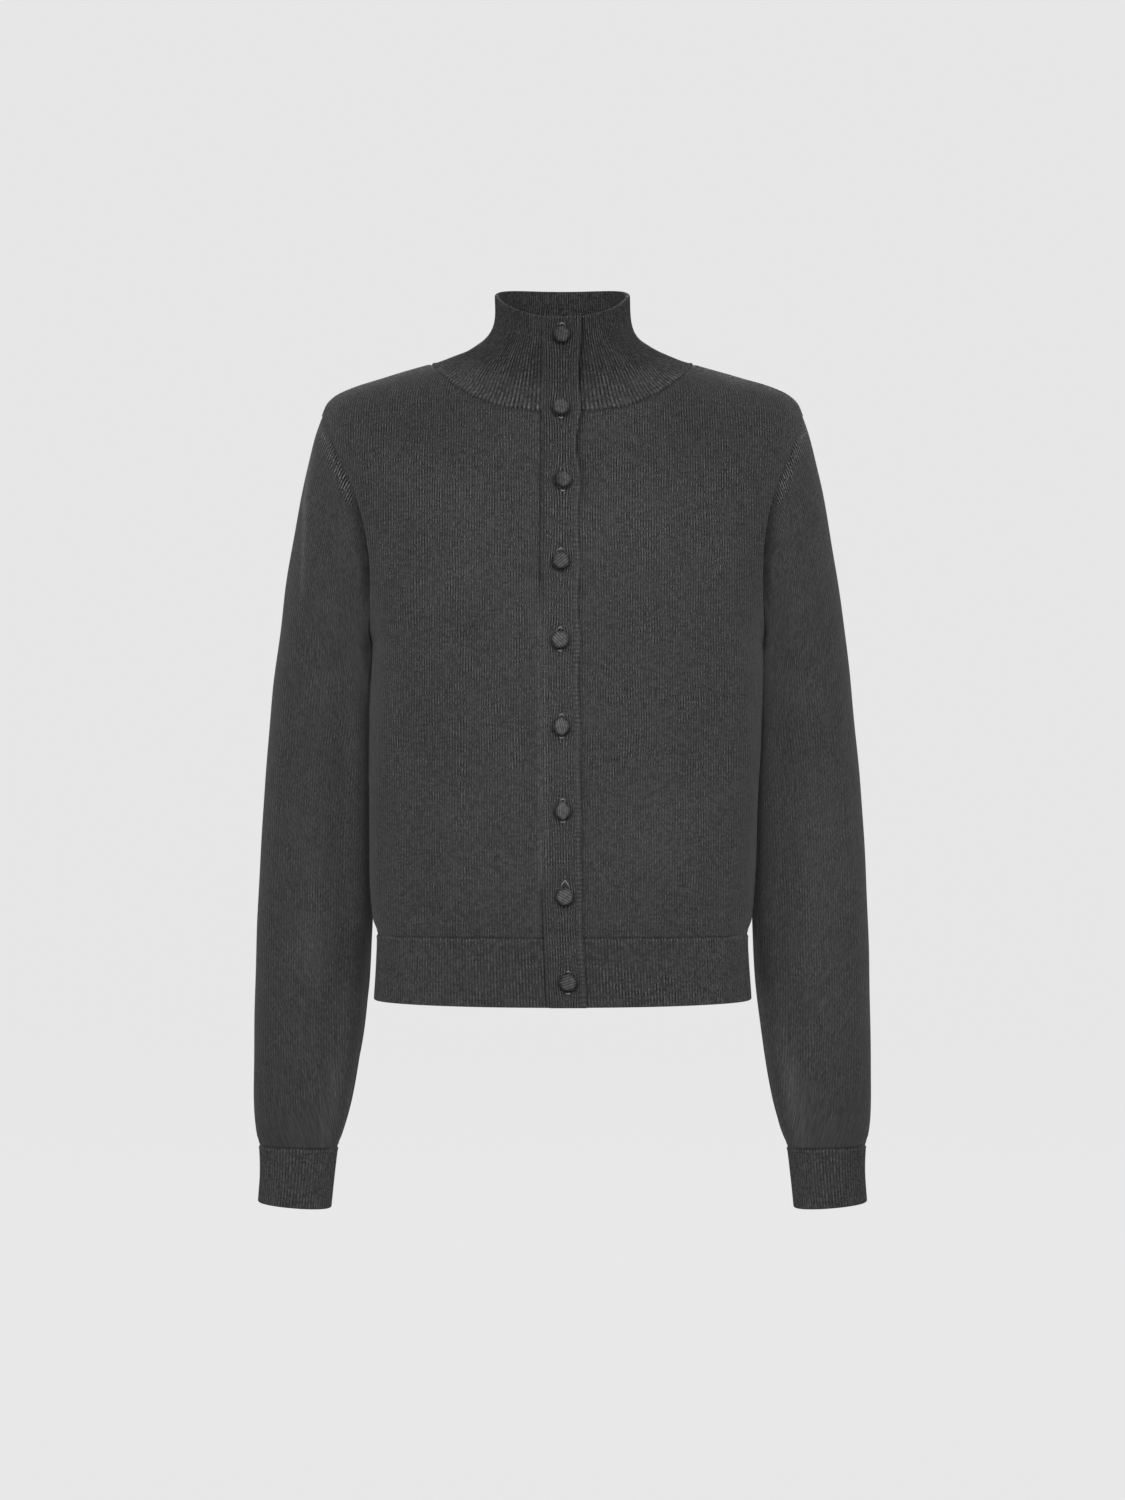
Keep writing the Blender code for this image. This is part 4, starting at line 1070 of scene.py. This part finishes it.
def make_buttonhole_band(finish):
    """The buttonhole band, which climbs over the button band."""
    total = front_line()[1][-1]
    lengths = spaced(total, 0.72 * MM, FREE_EDGE, FREE_EDGE)
    base, out, across = band_grid(
        lengths, hole_band_columns, lambda aside: BAND_LIFT * smooth((aside + BAND_WIDTH / 2) / BAND_STEP))
    z = base[..., 2]
    up = np.broadcast_to(lengths[:, None], across.shape)
    by_edge, by_seam = across[:, -1:] - across, across - across[:, :1]

    # Each button pulls the cloth in above and below it, opens its hole and has a painted shadow under its
    # rim.
    hole, pull, shadow = (np.zeros(across.shape) for _ in range(3))
    cells = np.ones((len(lengths) - 1, across.shape[1] - 1), bool)
    middles = (lengths[1:] + lengths[:-1]) / 2
    for centre in button_lengths():
        aside, off = across - button_aside(centre), lengths[:, None] - centre
        within = smooth((BUTTONHOLE_LENGTH / 2 + 1 * MM - np.abs(off)) / MM)
        hole = np.maximum(hole, hump(aside, 2.2 * MM) * within)
        pull += hump(aside, 6 * MM) * hump(np.abs(off) - 10.5 * MM, 5.5 * MM)
        rim = hump(np.hypot(aside + 0.3 * MM, off + 0.8 * MM) - BUTTON_RADIUS, 1.4 * MM)
        shadow = np.maximum(shadow, rim * (0.7 - 0.3 * np.tanh(off / (3 * MM))))
        open_rows = np.abs(middles - centre) < BUTTONHOLE_LENGTH / 2
        cells[open_rows, HOLE_COLUMN - 1:HOLE_COLUMN + 1] = False

    # The stitches of the selvedge and of the seam's chain.
    bars = np.cos(2 * np.pi * up / SELVEDGE_STEP + 1.6 * drift(0 * up, up, 43, 0.012))
    bars = bars * (0.7 + 0.5 * drift(0 * up, up, 44, 0.009))
    selvedge = smooth((5.4 * MM - by_edge) / (1.5 * MM)) * (0.35 + 0.65 * lower(z, -60, 50))
    chain = 0.5 + 0.5 * np.cos(2 * np.pi * up / CHAIN_STEP)
    chain_strength = 1.2 * (chained(z) - LEAST_CHAINED) + 0.3 * lower(z, -440, 20)

    raised = 0.35 * MM * hole - 0.9 * MM * pull + selvedge * 0.2 * MM * (bars + 0.6)
    raised += 0.4 * MM * drift(across * 2, up, 41, 0.03) * (1 - selvedge)
    raised += seam_sink(by_seam, 0.45, 0.7) + 0.3 * MM * hump(by_seam - 2.4 * MM, 1.2 * MM)
    tint = 1.03 - 0.15 * hump(by_seam, 0.8 * MM)
    tint += chain_strength * hump(by_seam - 1.8 * MM, 1.8 * MM) * chain
    # The selvedge's stitches, and a painted highlight along the lifted free edge.
    tint += selvedge * (0.02 + 0.36 * bars) + 0.28 * hump(by_edge - 1.7 * MM, 1.1 * MM)
    # Painted shade on the very edge, in the hollows the buttons pull, and under their rims.
    tint -= 0.3 * hump(by_edge, 0.5 * MM) + 0.03 * pull + 0.7 * shadow
    tint += 0.8 * hump(total - up, 0.9 * MM)
    # Painted shade where the band stands up in the collar, as on the collar; a little darker lower down.
    high = 0.22 * higher(z, -45, 40) + 0.1 * higher(z, -130, 60)
    tint *= 1 - high - 0.05 * higher(z, -240, 50)
    tint *= 1 - 0.06 * lower(z, -360, 30) - 0.1 * lower(z, -460, 20)
    clarity = (1.1 - 0.3 * lower(z, -120, 100)) * (1 - 0.7 * selvedge)
    knit_sheet("buttonhole_band", finish, ["front_right", "button_band"], base, out,
               settings().band_thickness, raised, 0.6 * raised, pushed_aside(across, lengths), up, tint,
               clarity, free=np.minimum(np.minimum(up, total - up), by_edge), keep=cells)


def button_place(number):
    """Where a button sits, its way out and its way up the band."""
    button, length = BUTTONS[number - 1], button_lengths()[len(BUTTONS) - number]
    row = row_at(length)
    turn = np.array((MM * button.x / row_length(row),))
    cloth_out = torso_out(row, turn, (-1, 1))[0]
    foot = torso(row, turn)[0] + (BAND_LIFT + SEAM_GAP) * cloth_out
    out = unit(cloth_out + BUTTON_TILT * np.array((0.0, -1.0, 0.0)))
    foot = foot + (BUTTON_HEIGHT / 2) * (cloth_out - out)
    up = np.array((0.0, 0.0, 1.0))
    up = unit(up - (up @ out) * out)
    return foot, out, up, np.cross(up, out)


# A button's profile: its dome, in degrees from its middle, and then its underside and its shank, as
# shares of its radius and of its height.
DOME_ANGLES = (0, *np.linspace(3, 96, 27))
UNDERSIDE = ((0.93, 0.08), (0.8, 0.0), (0.45, 0.02), (0.1, 0.02), (0.1, -0.45))


def make_button(number, finish):
    """One button, a dome covered in the knit, gathered under its rim and sewn on by a short shank."""
    button, chosen = BUTTONS[number - 1], settings()
    foot, out, up, aside = button_place(number)
    angle = np.radians(DOME_ANGLES)
    under_reach, under_high = np.transpose(UNDERSIDE)
    reach = BUTTON_RADIUS * np.concatenate((np.sin(angle), under_reach))[:, None]
    high = BUTTON_HEIGHT * np.concatenate((0.3 + 0.7 * np.cos(angle), under_high))[:, None]
    around = np.linspace(0, 2 * np.pi, BUTTON_SPOKES + 1)[:-1]
    wide, tall = np.cos(around) * reach, np.sin(around) * reach
    from_middle = np.hypot(wide, tall) / BUTTON_RADIUS

    # The knit lies turned on the dome, and its loops lift the surface.
    turned = np.pi * button.grain
    u = wide * np.cos(turned) + tall * np.sin(turned)
    v = tall * np.cos(turned) - wide * np.sin(turned)
    off = np.abs(u / chosen.button_wale - np.round(u / chosen.button_wale))
    loops = np.cos(np.pi * off) * (0.75 + 0.25 * np.cos(2 * np.pi * (v / chosen.course_height + off)))
    rounded = smooth(high / (0.25 * BUTTON_HEIGHT))
    uneven = 0.15 * MM * drift(wide, tall, 60 + number, 0.006)
    lift = (0.16 * MM * (loops - 0.6) + uneven) * rounded
    pointed = 1 - 1.6 * max(0, button.tall - 1.1) * np.clip(tall / BUTTON_RADIUS, -1, 1) ** 2
    scale, stretch = 1 + lift / BUTTON_RADIUS, button.tall**0.45
    high = high + lift * np.cos(1.2 * np.minimum(from_middle, 1))
    places = (
        foot + (wide * scale * pointed / stretch)[..., None] * aside
        + (tall * scale * stretch)[..., None] * up + high[..., None] * out
    )

    # The first and the last ring close in one corner each.
    points = np.vstack((places[0].mean(axis=0), places[1:].reshape(-1, 3), places[-1].mean(axis=0)))
    rings, spokes = wide.shape

    def corner(ring, spoke):
        return 1 + (ring - 1) * spokes + spoke % spokes
    faces = [(0, corner(1, k), corner(1, k + 1)) for k in range(spokes)]
    faces += [
        (corner(ring, k), corner(ring + 1, k), corner(ring + 1, k + 1), corner(ring, k + 1))
        for ring in range(1, rings - 1) for k in range(spokes)
    ]
    faces += [(corner(rings - 1, k), len(points) - 1, corner(rings - 1, k + 1)) for k in range(spokes)]
    knit = np.zeros((len(points), 2))
    knit[1:-1] = np.stack((u[1:], v[1:]), axis=-1).reshape(-1, 2)

    # Painted shade darkens the rim, most below, where the cover turns under.
    gathered = (0.5 - 0.1 * np.sin(around)) * smooth((from_middle - 0.72) / 0.26)
    shade = button.tone * (1 + 0.26 * (loops - 0.6)) * (1 - gathered)
    # Painted shade on the side to the wearer's right.
    shade *= 1 + button.dim_side * np.tanh(2 * reach * np.cos(around) / BUTTON_RADIUS + 0.4)
    # Painted shade on the underside and the shank.
    shade *= np.where(np.arange(rings) < len(angle), 1, UNDERSIDE_PAINTED_SHADE)[:, None]
    shade = np.concatenate(((button.tone,), shade[1:].ravel(), (shade[-1, 0],)))
    mesh = knit_mesh(f"button_{number}_covered", points.tolist(), faces, knit[np.concatenate(faces)],
                     shade, np.ones(shade.shape))
    add_piece(mesh, finish, f"button_{number}")


def yarn_loop(points, radius, sides=8):
    """The corners and faces of a round yarn along points, with closed tapered ends."""
    points = np.asarray(points)
    ways = unit(np.gradient(points, axis=0))
    side = unit(np.cross(ways, np.array((0.3, -1.0, 0.2))))
    other = np.cross(ways, side)
    around = np.linspace(0, 2 * np.pi, sides + 1)[:-1][None, :, None]
    taper = np.sqrt(np.clip(1 - np.linspace(-1, 1, len(points)) ** 4, 0.05, 1)) * radius
    ring = np.cos(around) * side[:, None] + np.sin(around) * other[:, None]
    corners = points[:, None] + ring * taper[:, None, None]
    faces = [
        (k * sides + s, k * sides + (s + 1) % sides, (k + 1) * sides + (s + 1) % sides, (k + 1) * sides + s)
        for k in range(len(points) - 1) for s in range(sides)
    ]
    faces.append(tuple(range(sides))[::-1])
    faces.append(tuple(range((len(points) - 1) * sides, len(points) * sides)))
    return corners.reshape(-1, 3), faces


def make_buttonhole_yarn(finish):
    """The bars of lighter yarn that show at the ends of the buttonholes."""
    corners, faces = [], []
    t = np.linspace(-1, 1, 17)
    for number, button in enumerate(BUTTONS, start=1):
        foot, out, up, aside = button_place(number)
        for way, rise in ((1, button.yarn_above), (-1, button.yarn_below)):
            if not rise:
                continue
            # The bar is an arch of two plies, pointed above the button and shallow below it.
            span, start = MM * (1.3 + 0.36 * rise), BUTTONHOLE_LENGTH / 2 + MM * (0.1 + 0.1 * rise)
            arch = 1 - np.sqrt(t**2 + 0.02) if way > 0 else 1 - t**2
            for ply in (-1, 1):
                twist = ply * 0.22 * MM * np.cos(5 * np.pi * t)
                rising = way * (start + MM * rise * arch) + twist
                standing = 0.2 * MM + 0.5 * MM * arch + ply * 0.2 * MM * np.sin(5 * np.pi * t)
                line = foot + aside * (span * t)[:, None] + up * rising[:, None] + out * standing[:, None]
                made, quads = yarn_loop(line, YARN_RADIUS)
                first = sum(map(len, corners))
                faces += [tuple(first + k for k in quad) for quad in quads]
                corners.append(made)
    mesh = bpy.data.meshes.new("buttonhole_yarn")
    mesh.from_pydata(np.concatenate(corners).tolist(), [], faces)
    mesh.shade_smooth()
    add_piece(mesh, finish)


# ------------------------------------------------------------------ finishes
class Wiring:
    """Adds nodes to a material and joins them up."""

    def __init__(self, name):
        self.material = bpy.data.materials.new(name)
        self.material.use_nodes = True
        self.tree = self.material.node_tree
        self.shader = self.tree.nodes["Principled BSDF"]

    def put(self, socket, value):
        """Joins a socket to another one, or gives it a value of its own."""
        if isinstance(value, bpy.types.NodeSocket):
            self.tree.links.new(value, socket)
        else:
            socket.default_value = value

    def fill(self, node, inputs):
        """Fills a node's inputs by name or by number."""
        for key, value in dict(inputs).items():
            self.put(node.inputs[key], value)
        return node

    def add(self, kind, inputs=(), **fields):
        """A new node."""
        node = self.tree.nodes.new(kind)
        for field, value in fields.items():
            setattr(node, field, value)
        return self.fill(node, inputs)

    def maths(self, operation, *values):
        """The result of one operation."""
        return self.add("ShaderNodeMath", enumerate(values), operation=operation).outputs[0]

    def times(self, value, other):
        return self.maths("MULTIPLY", value, other)

    def plus(self, value, other):
        return self.maths("ADD", value, other)

    def spread(self, value, width, low):
        """A value made width times as wide, from low up."""
        return self.maths("MULTIPLY_ADD", value, width, low)

    def between(self, value, low, high):
        """A value from 0 to 1 spread from low to high."""
        return self.spread(value, high - low, low)

    def vector(self, x, y):
        """A place made of two numbers."""
        return self.add("ShaderNodeCombineXYZ", {0: x, 1: y}).outputs[0]

    def noise(self, vector, scale, detail, roughness=0.5):
        """Soft random patches."""
        inputs = {"Vector": vector, "Scale": scale, "Detail": detail, "Roughness": roughness}
        return self.add("ShaderNodeTexNoise", inputs).outputs["Fac"]

    def mesh_field(self, name):
        """A number kept at the mesh's corners."""
        return self.add("ShaderNodeAttribute", attribute_name=name).outputs["Fac"]


# A knit: its material, the slot that it stands for, the settings of its colour and its wale, how far its
# wales stand up, how much painted shade darkens the furrows between them, how much that changes from
# stitch to stitch, how uneven the shade of its stitches, of its strands along a wale and of its fibres is,
# and its fuzz.
Knit = namedtuple("Knit", "material slot colour wale relief contrast broken melange strands fibres fuzz")
KNITS = {
    "plain": Knit("Charcoal plain knit", "plain_knit", "plain_colour", "wale_width",
                  0.25 * MM, 0.47, 1.9, 0.23, 0.3, 0.06, 0.18),
    "rib": Knit("Charcoal rib knit", "rib_knit", "rib_colour", "rib_width",
                0.25 * MM, 0.28, 2.0, 0.28, 0.26, 0.06, 0.18),
    "band": Knit("Charcoal band knit", "rib_knit", "band_colour", "wale_width",
                 0.25 * MM, 0.6, 1.6, 0.19, 0.26, 0.06, 0.18),
    "button": Knit("Knit button cover", "covered_button", "button_colour", "button_wale",
                   0.15 * MM, 0.3, 0.4, 0.3, 0.3, 0.1, 0.04),
}


def knit_finish(kind):
    """One of the four knits' finishes. Its material is made once."""
    knit = KNITS[kind]
    return Finish(bpy.data.materials.get(knit.material) or knit_material(knit), knit.slot)


def knit_material(knit):
    """A melange knit: wales of V-shaped stitches, each stitch of a yarn a little lighter or darker than
    its neighbours, and painted shade in the furrows between the wales. The piece's "clarity" says how
    much its wales stand out, and its "tint" its tone with painted light and shade."""
    chosen = settings()
    make = Wiring(knit.material)
    parts = make.add("ShaderNodeSeparateXYZ", {0: make.add("ShaderNodeUVMap", uv_map="Knit").outputs[0]})
    u, v = parts.outputs[0], parts.outputs[1]

    # Which wale and which stitch of it a place is on, and how far it is from the wale's middle.
    number = make.maths("DIVIDE", u, getattr(chosen, knit.wale))
    course = make.maths("DIVIDE", v, chosen.course_height)
    nearest = make.maths("FLOOR", make.plus(number, 0.5))
    off = make.maths("ABSOLUTE", make.maths("SUBTRACT", number, nearest))
    legs = make.spread(off, 1.3, course)
    stitch = make.maths("FLOOR", legs)
    crest = make.maths("COSINE", make.times(off, 2 * np.pi))
    loop = make.maths("COSINE", make.times(legs, 2 * np.pi))
    split = make.maths("MAXIMUM", make.spread(off, -6.0, 1.0), 0.0)

    # The uneven yarn: one value for each stitch, another one, strands along the wale and fibres.
    yarn = make.add("ShaderNodeTexWhiteNoise", {"Vector": make.vector(nearest, stitch)},
                    noise_dimensions="2D").outputs["Value"]
    other = make.maths("FRACT", make.times(yarn, 97.0))
    strand = make.noise(make.vector(make.times(nearest, 7.3), make.times(v, 110.0)), 1.0, 1.0)
    fibres = make.noise(make.vector(make.times(u, 2600.0), make.times(v, 900.0)), 1.0, 2.0, 0.6)

    height = make.spread(loop, 0.18, make.times(crest, 0.5))
    height = make.maths("SUBTRACT", height, make.times(split, 0.25))
    height = make.plus(height, make.between(fibres, -0.2, 0.2))
    bump = make.add("ShaderNodeBump", {"Height": height, "Distance": knit.relief, "Strength": 1.0})

    clarity, tint = make.mesh_field("clarity"), make.mesh_field("tint")
    strength = make.between(yarn, knit.contrast * (1 - knit.broken), knit.contrast * (1 + knit.broken))
    # The wales' own pattern, with painted shade in the furrows between them, as strong as the clarity.
    ribs = make.times(make.times(make.spread(loop, 0.25, crest), strength), clarity)
    speckle = make.between(other, -knit.melange, knit.melange)
    streaks = make.times(make.between(strand, -knit.strands, knit.strands), make.spread(clarity, 0.8, 0.2))
    shade = make.plus(make.plus(speckle, streaks), 1.0)
    shade = make.plus(make.between(fibres, -knit.fibres, knit.fibres), shade)
    shade = make.times(make.plus(ribs, 1.0), shade)
    shade = make.maths("MAXIMUM", make.times(shade, tint), DARKEST_SHADE)
    grey = make.add("ShaderNodeCombineColor", {0: shade, 1: shade, 2: shade}).outputs[0]
    dyed = make.add("ShaderNodeMix", {"Factor": 1.0}, data_type="RGBA", blend_type="MULTIPLY")
    make.fill(dyed, {"A": (*getattr(chosen, knit.colour), 1.0), "B": grey})
    make.fill(make.shader, {
        "Normal": bump.outputs[0], "Base Color": dyed.outputs["Result"], "Roughness": 0.9,
        "Specular IOR Level": 0.15, "Sheen Weight": knit.fuzz, "Sheen Roughness": 0.4,
        "Sheen Tint": (0.9, 0.9, 0.92, 1.0),
    })
    return make.material


def yarn_finish():
    """Lighter twisted yarn."""
    make = Wiring("Light buttonhole yarn")
    colour = settings().yarn_colour
    place = make.add("ShaderNodeTexCoord").outputs["Object"]
    plies = {"Vector": place, "Scale": 900.0, "Distortion": 3.0, "Detail": 2.0}
    twist = make.add("ShaderNodeTexWave", plies, bands_direction="DIAGONAL").outputs["Fac"]
    ramp = make.add("ShaderNodeMix", {"Factor": twist}, data_type="RGBA")
    make.fill(ramp, {"A": (*(0.6 * part for part in colour), 1.0), "B": (*colour, 1.0)})
    bump = make.add("ShaderNodeBump", {"Height": twist, "Distance": 0.1 * MM})
    make.fill(make.shader, {
        "Base Color": ramp.outputs["Result"], "Normal": bump.outputs[0], "Roughness": 0.8,
    })
    return Finish(make.material, "covered_button")


# ------------------------------------------------------------------ the stage
FLOOR_Z, FLOOR_RADIUS, DOME_RADIUS, STUDIO_SPOKES = -1.05, 3.2, 7.5, 96
CAMERA_PLACE, CAMERA_LENS = (0.0, -3.5, -0.310), 105.0
# A light's name, its place, what it is aimed at, its width and the setting of its power.
LIGHTS = (
    ("front softbox", (0.0, -4.2, 0.5), (0.0, 0.0, -0.3), 1.6, "front_light"),
    ("overhead softbox", (0.0, -1.2, 2.6), (0.0, -0.05, -0.2), 1.6, "overhead_light"),
    ("left softbox", (-2.6, -1.8, 0.4), (0.0, 0.0, -0.3), 1.4, "side_light"),
    ("right softbox", (2.6, -1.8, 0.4), (0.0, 0.0, -0.3), 1.4, "side_light"),
    ("back softbox", (0.0, 3.6, 1.2), (0.0, 0.0, -0.3), 2.0, "back_light"),
)


def make_studio():
    """A pale floor that curves up into a plain backdrop all round."""
    chosen, bend = settings(), DOME_RADIUS - FLOOR_RADIUS
    profile = [(0.0, 0.0), (FLOOR_RADIUS / 2, 0.0), (FLOOR_RADIUS, 0.0)]
    rising, closing = np.linspace(0.08, np.pi / 2, 18), np.linspace(0.1, np.pi / 2, 16)
    profile += [(FLOOR_RADIUS + bend * np.sin(a), bend * (1 - np.cos(a))) for a in rising]
    profile += [(DOME_RADIUS * np.cos(a), bend + DOME_RADIUS * np.sin(a)) for a in closing]
    around = np.linspace(0, 2 * np.pi, STUDIO_SPOKES + 1)[:-1]
    corners = [(r * np.cos(a), r * np.sin(a), FLOOR_Z + z) for r, z in profile for a in around]

    def corner(ring, spoke):
        return ring * STUDIO_SPOKES + spoke % STUDIO_SPOKES
    faces = [
        (corner(ring, k), corner(ring, k + 1), corner(ring + 1, k + 1), corner(ring + 1, k))
        for ring in range(len(profile) - 1) for k in range(STUDIO_SPOKES)
    ]
    mesh = bpy.data.meshes.new("studio")
    mesh.from_pydata(corners, [], faces)
    mesh.validate()
    mesh.flip_normals()
    mesh.shade_smooth()
    studio = bpy.data.objects.new("studio", mesh)
    bpy.context.scene.collection.objects.link(studio)
    studio.visible_diffuse = studio.visible_glossy = False

    make = Wiring("Pale studio")
    place = make.add("ShaderNodeTexCoord").outputs["Object"]
    grain = make.between(make.noise(place, 180.0, 2.0), 0.995, 1.005)
    tone, lit = chosen.backdrop, chosen.floor_share
    strength = make.times(grain, 1 - lit)
    glow = make.add("ShaderNodeEmission", {"Color": (*(tone,) * 3, 1.0), "Strength": strength})
    paper = make.add("ShaderNodeBsdfDiffuse", {"Color": (*(lit * tone,) * 3, 1.0)})
    both = make.add("ShaderNodeAddShader", {0: glow.outputs[0], 1: paper.outputs[0]})
    output = next(node for node in make.tree.nodes if node.type == "OUTPUT_MATERIAL")
    make.fill(output, {"Surface": both.outputs[0]})
    mesh.materials.append(make.material)


def make_lights():
    """Soft lights all round, and a little light from the air."""
    chosen = settings()
    world = bpy.data.worlds.new("Studio air")
    world.use_nodes = True
    world.node_tree.nodes["Background"].inputs["Color"].default_value = (*(chosen.ambient,) * 3, 1.0)
    bpy.context.scene.world = world
    for name, place, aim, size, power in LIGHTS:
        light = bpy.data.lights.new(name, "AREA")
        light.shape, light.size, light.energy = "SQUARE", size, getattr(chosen, power)
        lamp = bpy.data.objects.new(name, light)
        lamp.location = place
        lamp.rotation_euler = (Vector(aim) - Vector(place)).to_track_quat("-Z", "Y").to_euler()
        lamp.visible_camera = False
        bpy.context.scene.collection.objects.link(lamp)


def make_camera():
    """A camera square on to the front."""
    view = bpy.data.cameras.new("camera")
    view.lens, view.sensor_width = CAMERA_LENS, 36.0
    view.clip_start, view.clip_end = 0.1, 50.0
    camera = bpy.data.objects.new("camera", view)
    camera.location = CAMERA_PLACE
    camera.rotation_euler = (np.radians(90), 0.0, 0.0)
    bpy.context.scene.collection.objects.link(camera)
    bpy.context.scene.camera = camera
    bpy.context.scene.view_settings.view_transform = "Standard"


# ------------------------------------------------------------------ settings, operators and panel
def millimetres(name, description, default, low, high):
    """A size, given here in millimetres."""
    return FloatProperty(name=name, description=description, default=default * MM, min=low * MM,
                         max=high * MM, subtype="DISTANCE", unit="LENGTH", precision=4)


def dye(name, description, default):
    """A colour."""
    return FloatVectorProperty(name=name, description=description, default=default, subtype="COLOR",
                               size=3, min=0, max=1)


def portion(name, description, default):
    """A share from 0 to 1."""
    return FloatProperty(name=name, description=description, default=default, min=0, max=1,
                         subtype="FACTOR")


def watts(name, description, default):
    """The power of a light."""
    return FloatProperty(name=name, description=description, default=default, min=0, unit="POWER")


CHARCOAL = (0.0585, 0.0585, 0.0592)


class CardiganSettings(bpy.types.PropertyGroup):
    """Sizes, colours and lights of the cardigan."""

    plain_thickness: millimetres("Plain knit thickness", "Fronts, back and sleeves", 2.0, 1, 3)
    rib_thickness: millimetres("Rib thickness", "Hem, cuffs and collar", 2.6, 1, 3)
    band_thickness: millimetres("Band thickness", "Doubled front bands", 2.0, 1, 3)
    wale_width: millimetres("Wale width", "From one column of plain stitches to the next", 2.05, 0.8, 5)
    course_height: millimetres("Course height", "From one row of stitches to the next", 1.5, 0.6, 5)
    button_wale: millimetres("Button wale width", "Wale width of the knit over the buttons", 2.0, 0.8, 5)
    rib_width: millimetres("Rib width", "From one rib to the next", 2.5, 1, 8)
    rib_depth: millimetres("Rib depth", "How far a rib stands above its furrow", 0.8, 0.1, 2)
    plain_colour: dye("Plain knit colour", "Charcoal of the plain knit", CHARCOAL)
    rib_colour: dye("Rib colour", "Charcoal of the ribs", CHARCOAL)
    band_colour: dye("Band colour", "Charcoal of the front bands", CHARCOAL)
    button_colour: dye("Button colour", "Charcoal of the covered buttons", (0.105, 0.105, 0.106))
    yarn_colour: dye("Buttonhole yarn colour", "Lighter yarn in the buttonholes", (0.36, 0.36, 0.36))
    backdrop: portion("Backdrop tone", "How pale the floor and backdrop are", 0.815)
    floor_share: portion("Floor shading", "How much the floor shows the lights", 0.03)
    ambient: portion("Ambient light", "Light that reaches the cardigan from all round", 0.2)
    front_light: watts("Front light", "Power of the front softbox", 95.0)
    overhead_light: watts("Overhead light", "Power of the overhead softbox", 3.0)
    side_light: watts("Side light", "Power of each side softbox", 14.0)
    back_light: watts("Back light", "Power of the softbox behind", 50.0)


class CARDIGAN_OT_fronts(bpy.types.Operator):
    """Knit the two fronts"""

    bl_idname, bl_label = "cardigan.fronts", "Fronts"

    def execute(self, context):
        for side in SIDES:
            make_panel(side, knit_finish("plain"))
        return {"FINISHED"}


class CARDIGAN_OT_back(bpy.types.Operator):
    """Knit the back"""

    bl_idname, bl_label = "cardigan.back", "Back"

    def execute(self, context):
        make_panel("back", knit_finish("plain"))
        return {"FINISHED"}


class CARDIGAN_OT_hem(bpy.types.Operator):
    """Knit the three lengths of ribbed hem"""

    bl_idname, bl_label = "cardigan.hem", "Ribbed hem"

    def execute(self, context):
        for which in (*SIDES, "back"):
            make_hem(which, knit_finish("rib"))
        return {"FINISHED"}


class CARDIGAN_OT_collar(bpy.types.Operator):
    """Knit the funnel collar"""

    bl_idname, bl_label = "cardigan.collar", "Funnel collar"

    def execute(self, context):
        make_collar(knit_finish("rib"))
        return {"FINISHED"}


class CARDIGAN_OT_sleeves(bpy.types.Operator):
    """Knit the two sleeves"""

    bl_idname, bl_label = "cardigan.sleeves", "Sleeves"

    def execute(self, context):
        for side in SIDES:
            make_sleeve(side, knit_finish("plain"))
        return {"FINISHED"}


class CARDIGAN_OT_cuffs(bpy.types.Operator):
    """Knit the two ribbed cuffs"""

    bl_idname, bl_label = "cardigan.cuffs", "Cuffs"

    def execute(self, context):
        for side in SIDES:
            make_cuff(side, knit_finish("rib"))
        return {"FINISHED"}


class CARDIGAN_OT_bands(bpy.types.Operator):
    """Knit the button band and the buttonhole band"""

    bl_idname, bl_label = "cardigan.bands", "Front bands"

    def execute(self, context):
        make_button_band(knit_finish("band"))
        make_buttonhole_band(knit_finish("band"))
        return {"FINISHED"}


class CARDIGAN_OT_buttons(bpy.types.Operator):
    """Cover the nine buttons and work the yarn at their buttonholes"""

    bl_idname, bl_label = "cardigan.buttons", "Covered buttons"

    def execute(self, context):
        for number in range(1, len(BUTTONS) + 1):
            make_button(number, knit_finish("button"))
        make_buttonhole_yarn(yarn_finish())
        return {"FINISHED"}


class CARDIGAN_OT_stage(bpy.types.Operator):
    """Set up the floor, the lights and the camera"""

    bl_idname, bl_label = "cardigan.stage", "Stage"

    def execute(self, context):
        make_studio()
        make_lights()
        make_camera()
        return {"FINISHED"}


OPERATORS = (
    CARDIGAN_OT_fronts, CARDIGAN_OT_back, CARDIGAN_OT_hem, CARDIGAN_OT_collar, CARDIGAN_OT_sleeves,
    CARDIGAN_OT_cuffs, CARDIGAN_OT_bands, CARDIGAN_OT_buttons, CARDIGAN_OT_stage,
)


class CARDIGAN_PT_pieces(bpy.types.Panel):
    """Lists the cardigan's pieces, sizes and colours"""

    bl_idname, bl_label = "CARDIGAN_PT_pieces", "Button cardigan"
    bl_space_type, bl_region_type, bl_category = "VIEW_3D", "UI", "Cardigan"

    def draw(self, context):
        for name in CardiganSettings.__annotations__:
            self.layout.prop(context.scene.button_cardigan, name)
        for operator in OPERATORS:
            self.layout.operator(operator.bl_idname)


CLASSES = (CardiganSettings, *OPERATORS, CARDIGAN_PT_pieces)


def register():
    """Adds the settings, the operators and the panel."""
    for found in CLASSES:
        bpy.utils.register_class(found)
    bpy.types.Scene.button_cardigan = PointerProperty(type=CardiganSettings)


def unregister():
    """Takes them away again."""
    del bpy.types.Scene.button_cardigan
    for found in reversed(CLASSES):
        bpy.utils.unregister_class(found)


def main():
    """Makes every piece in order."""
    register()
    for operator in OPERATORS:
        group, name = operator.bl_idname.split(".")
        getattr(getattr(bpy.ops, group), name)()


if __name__ == "__main__":
    main()
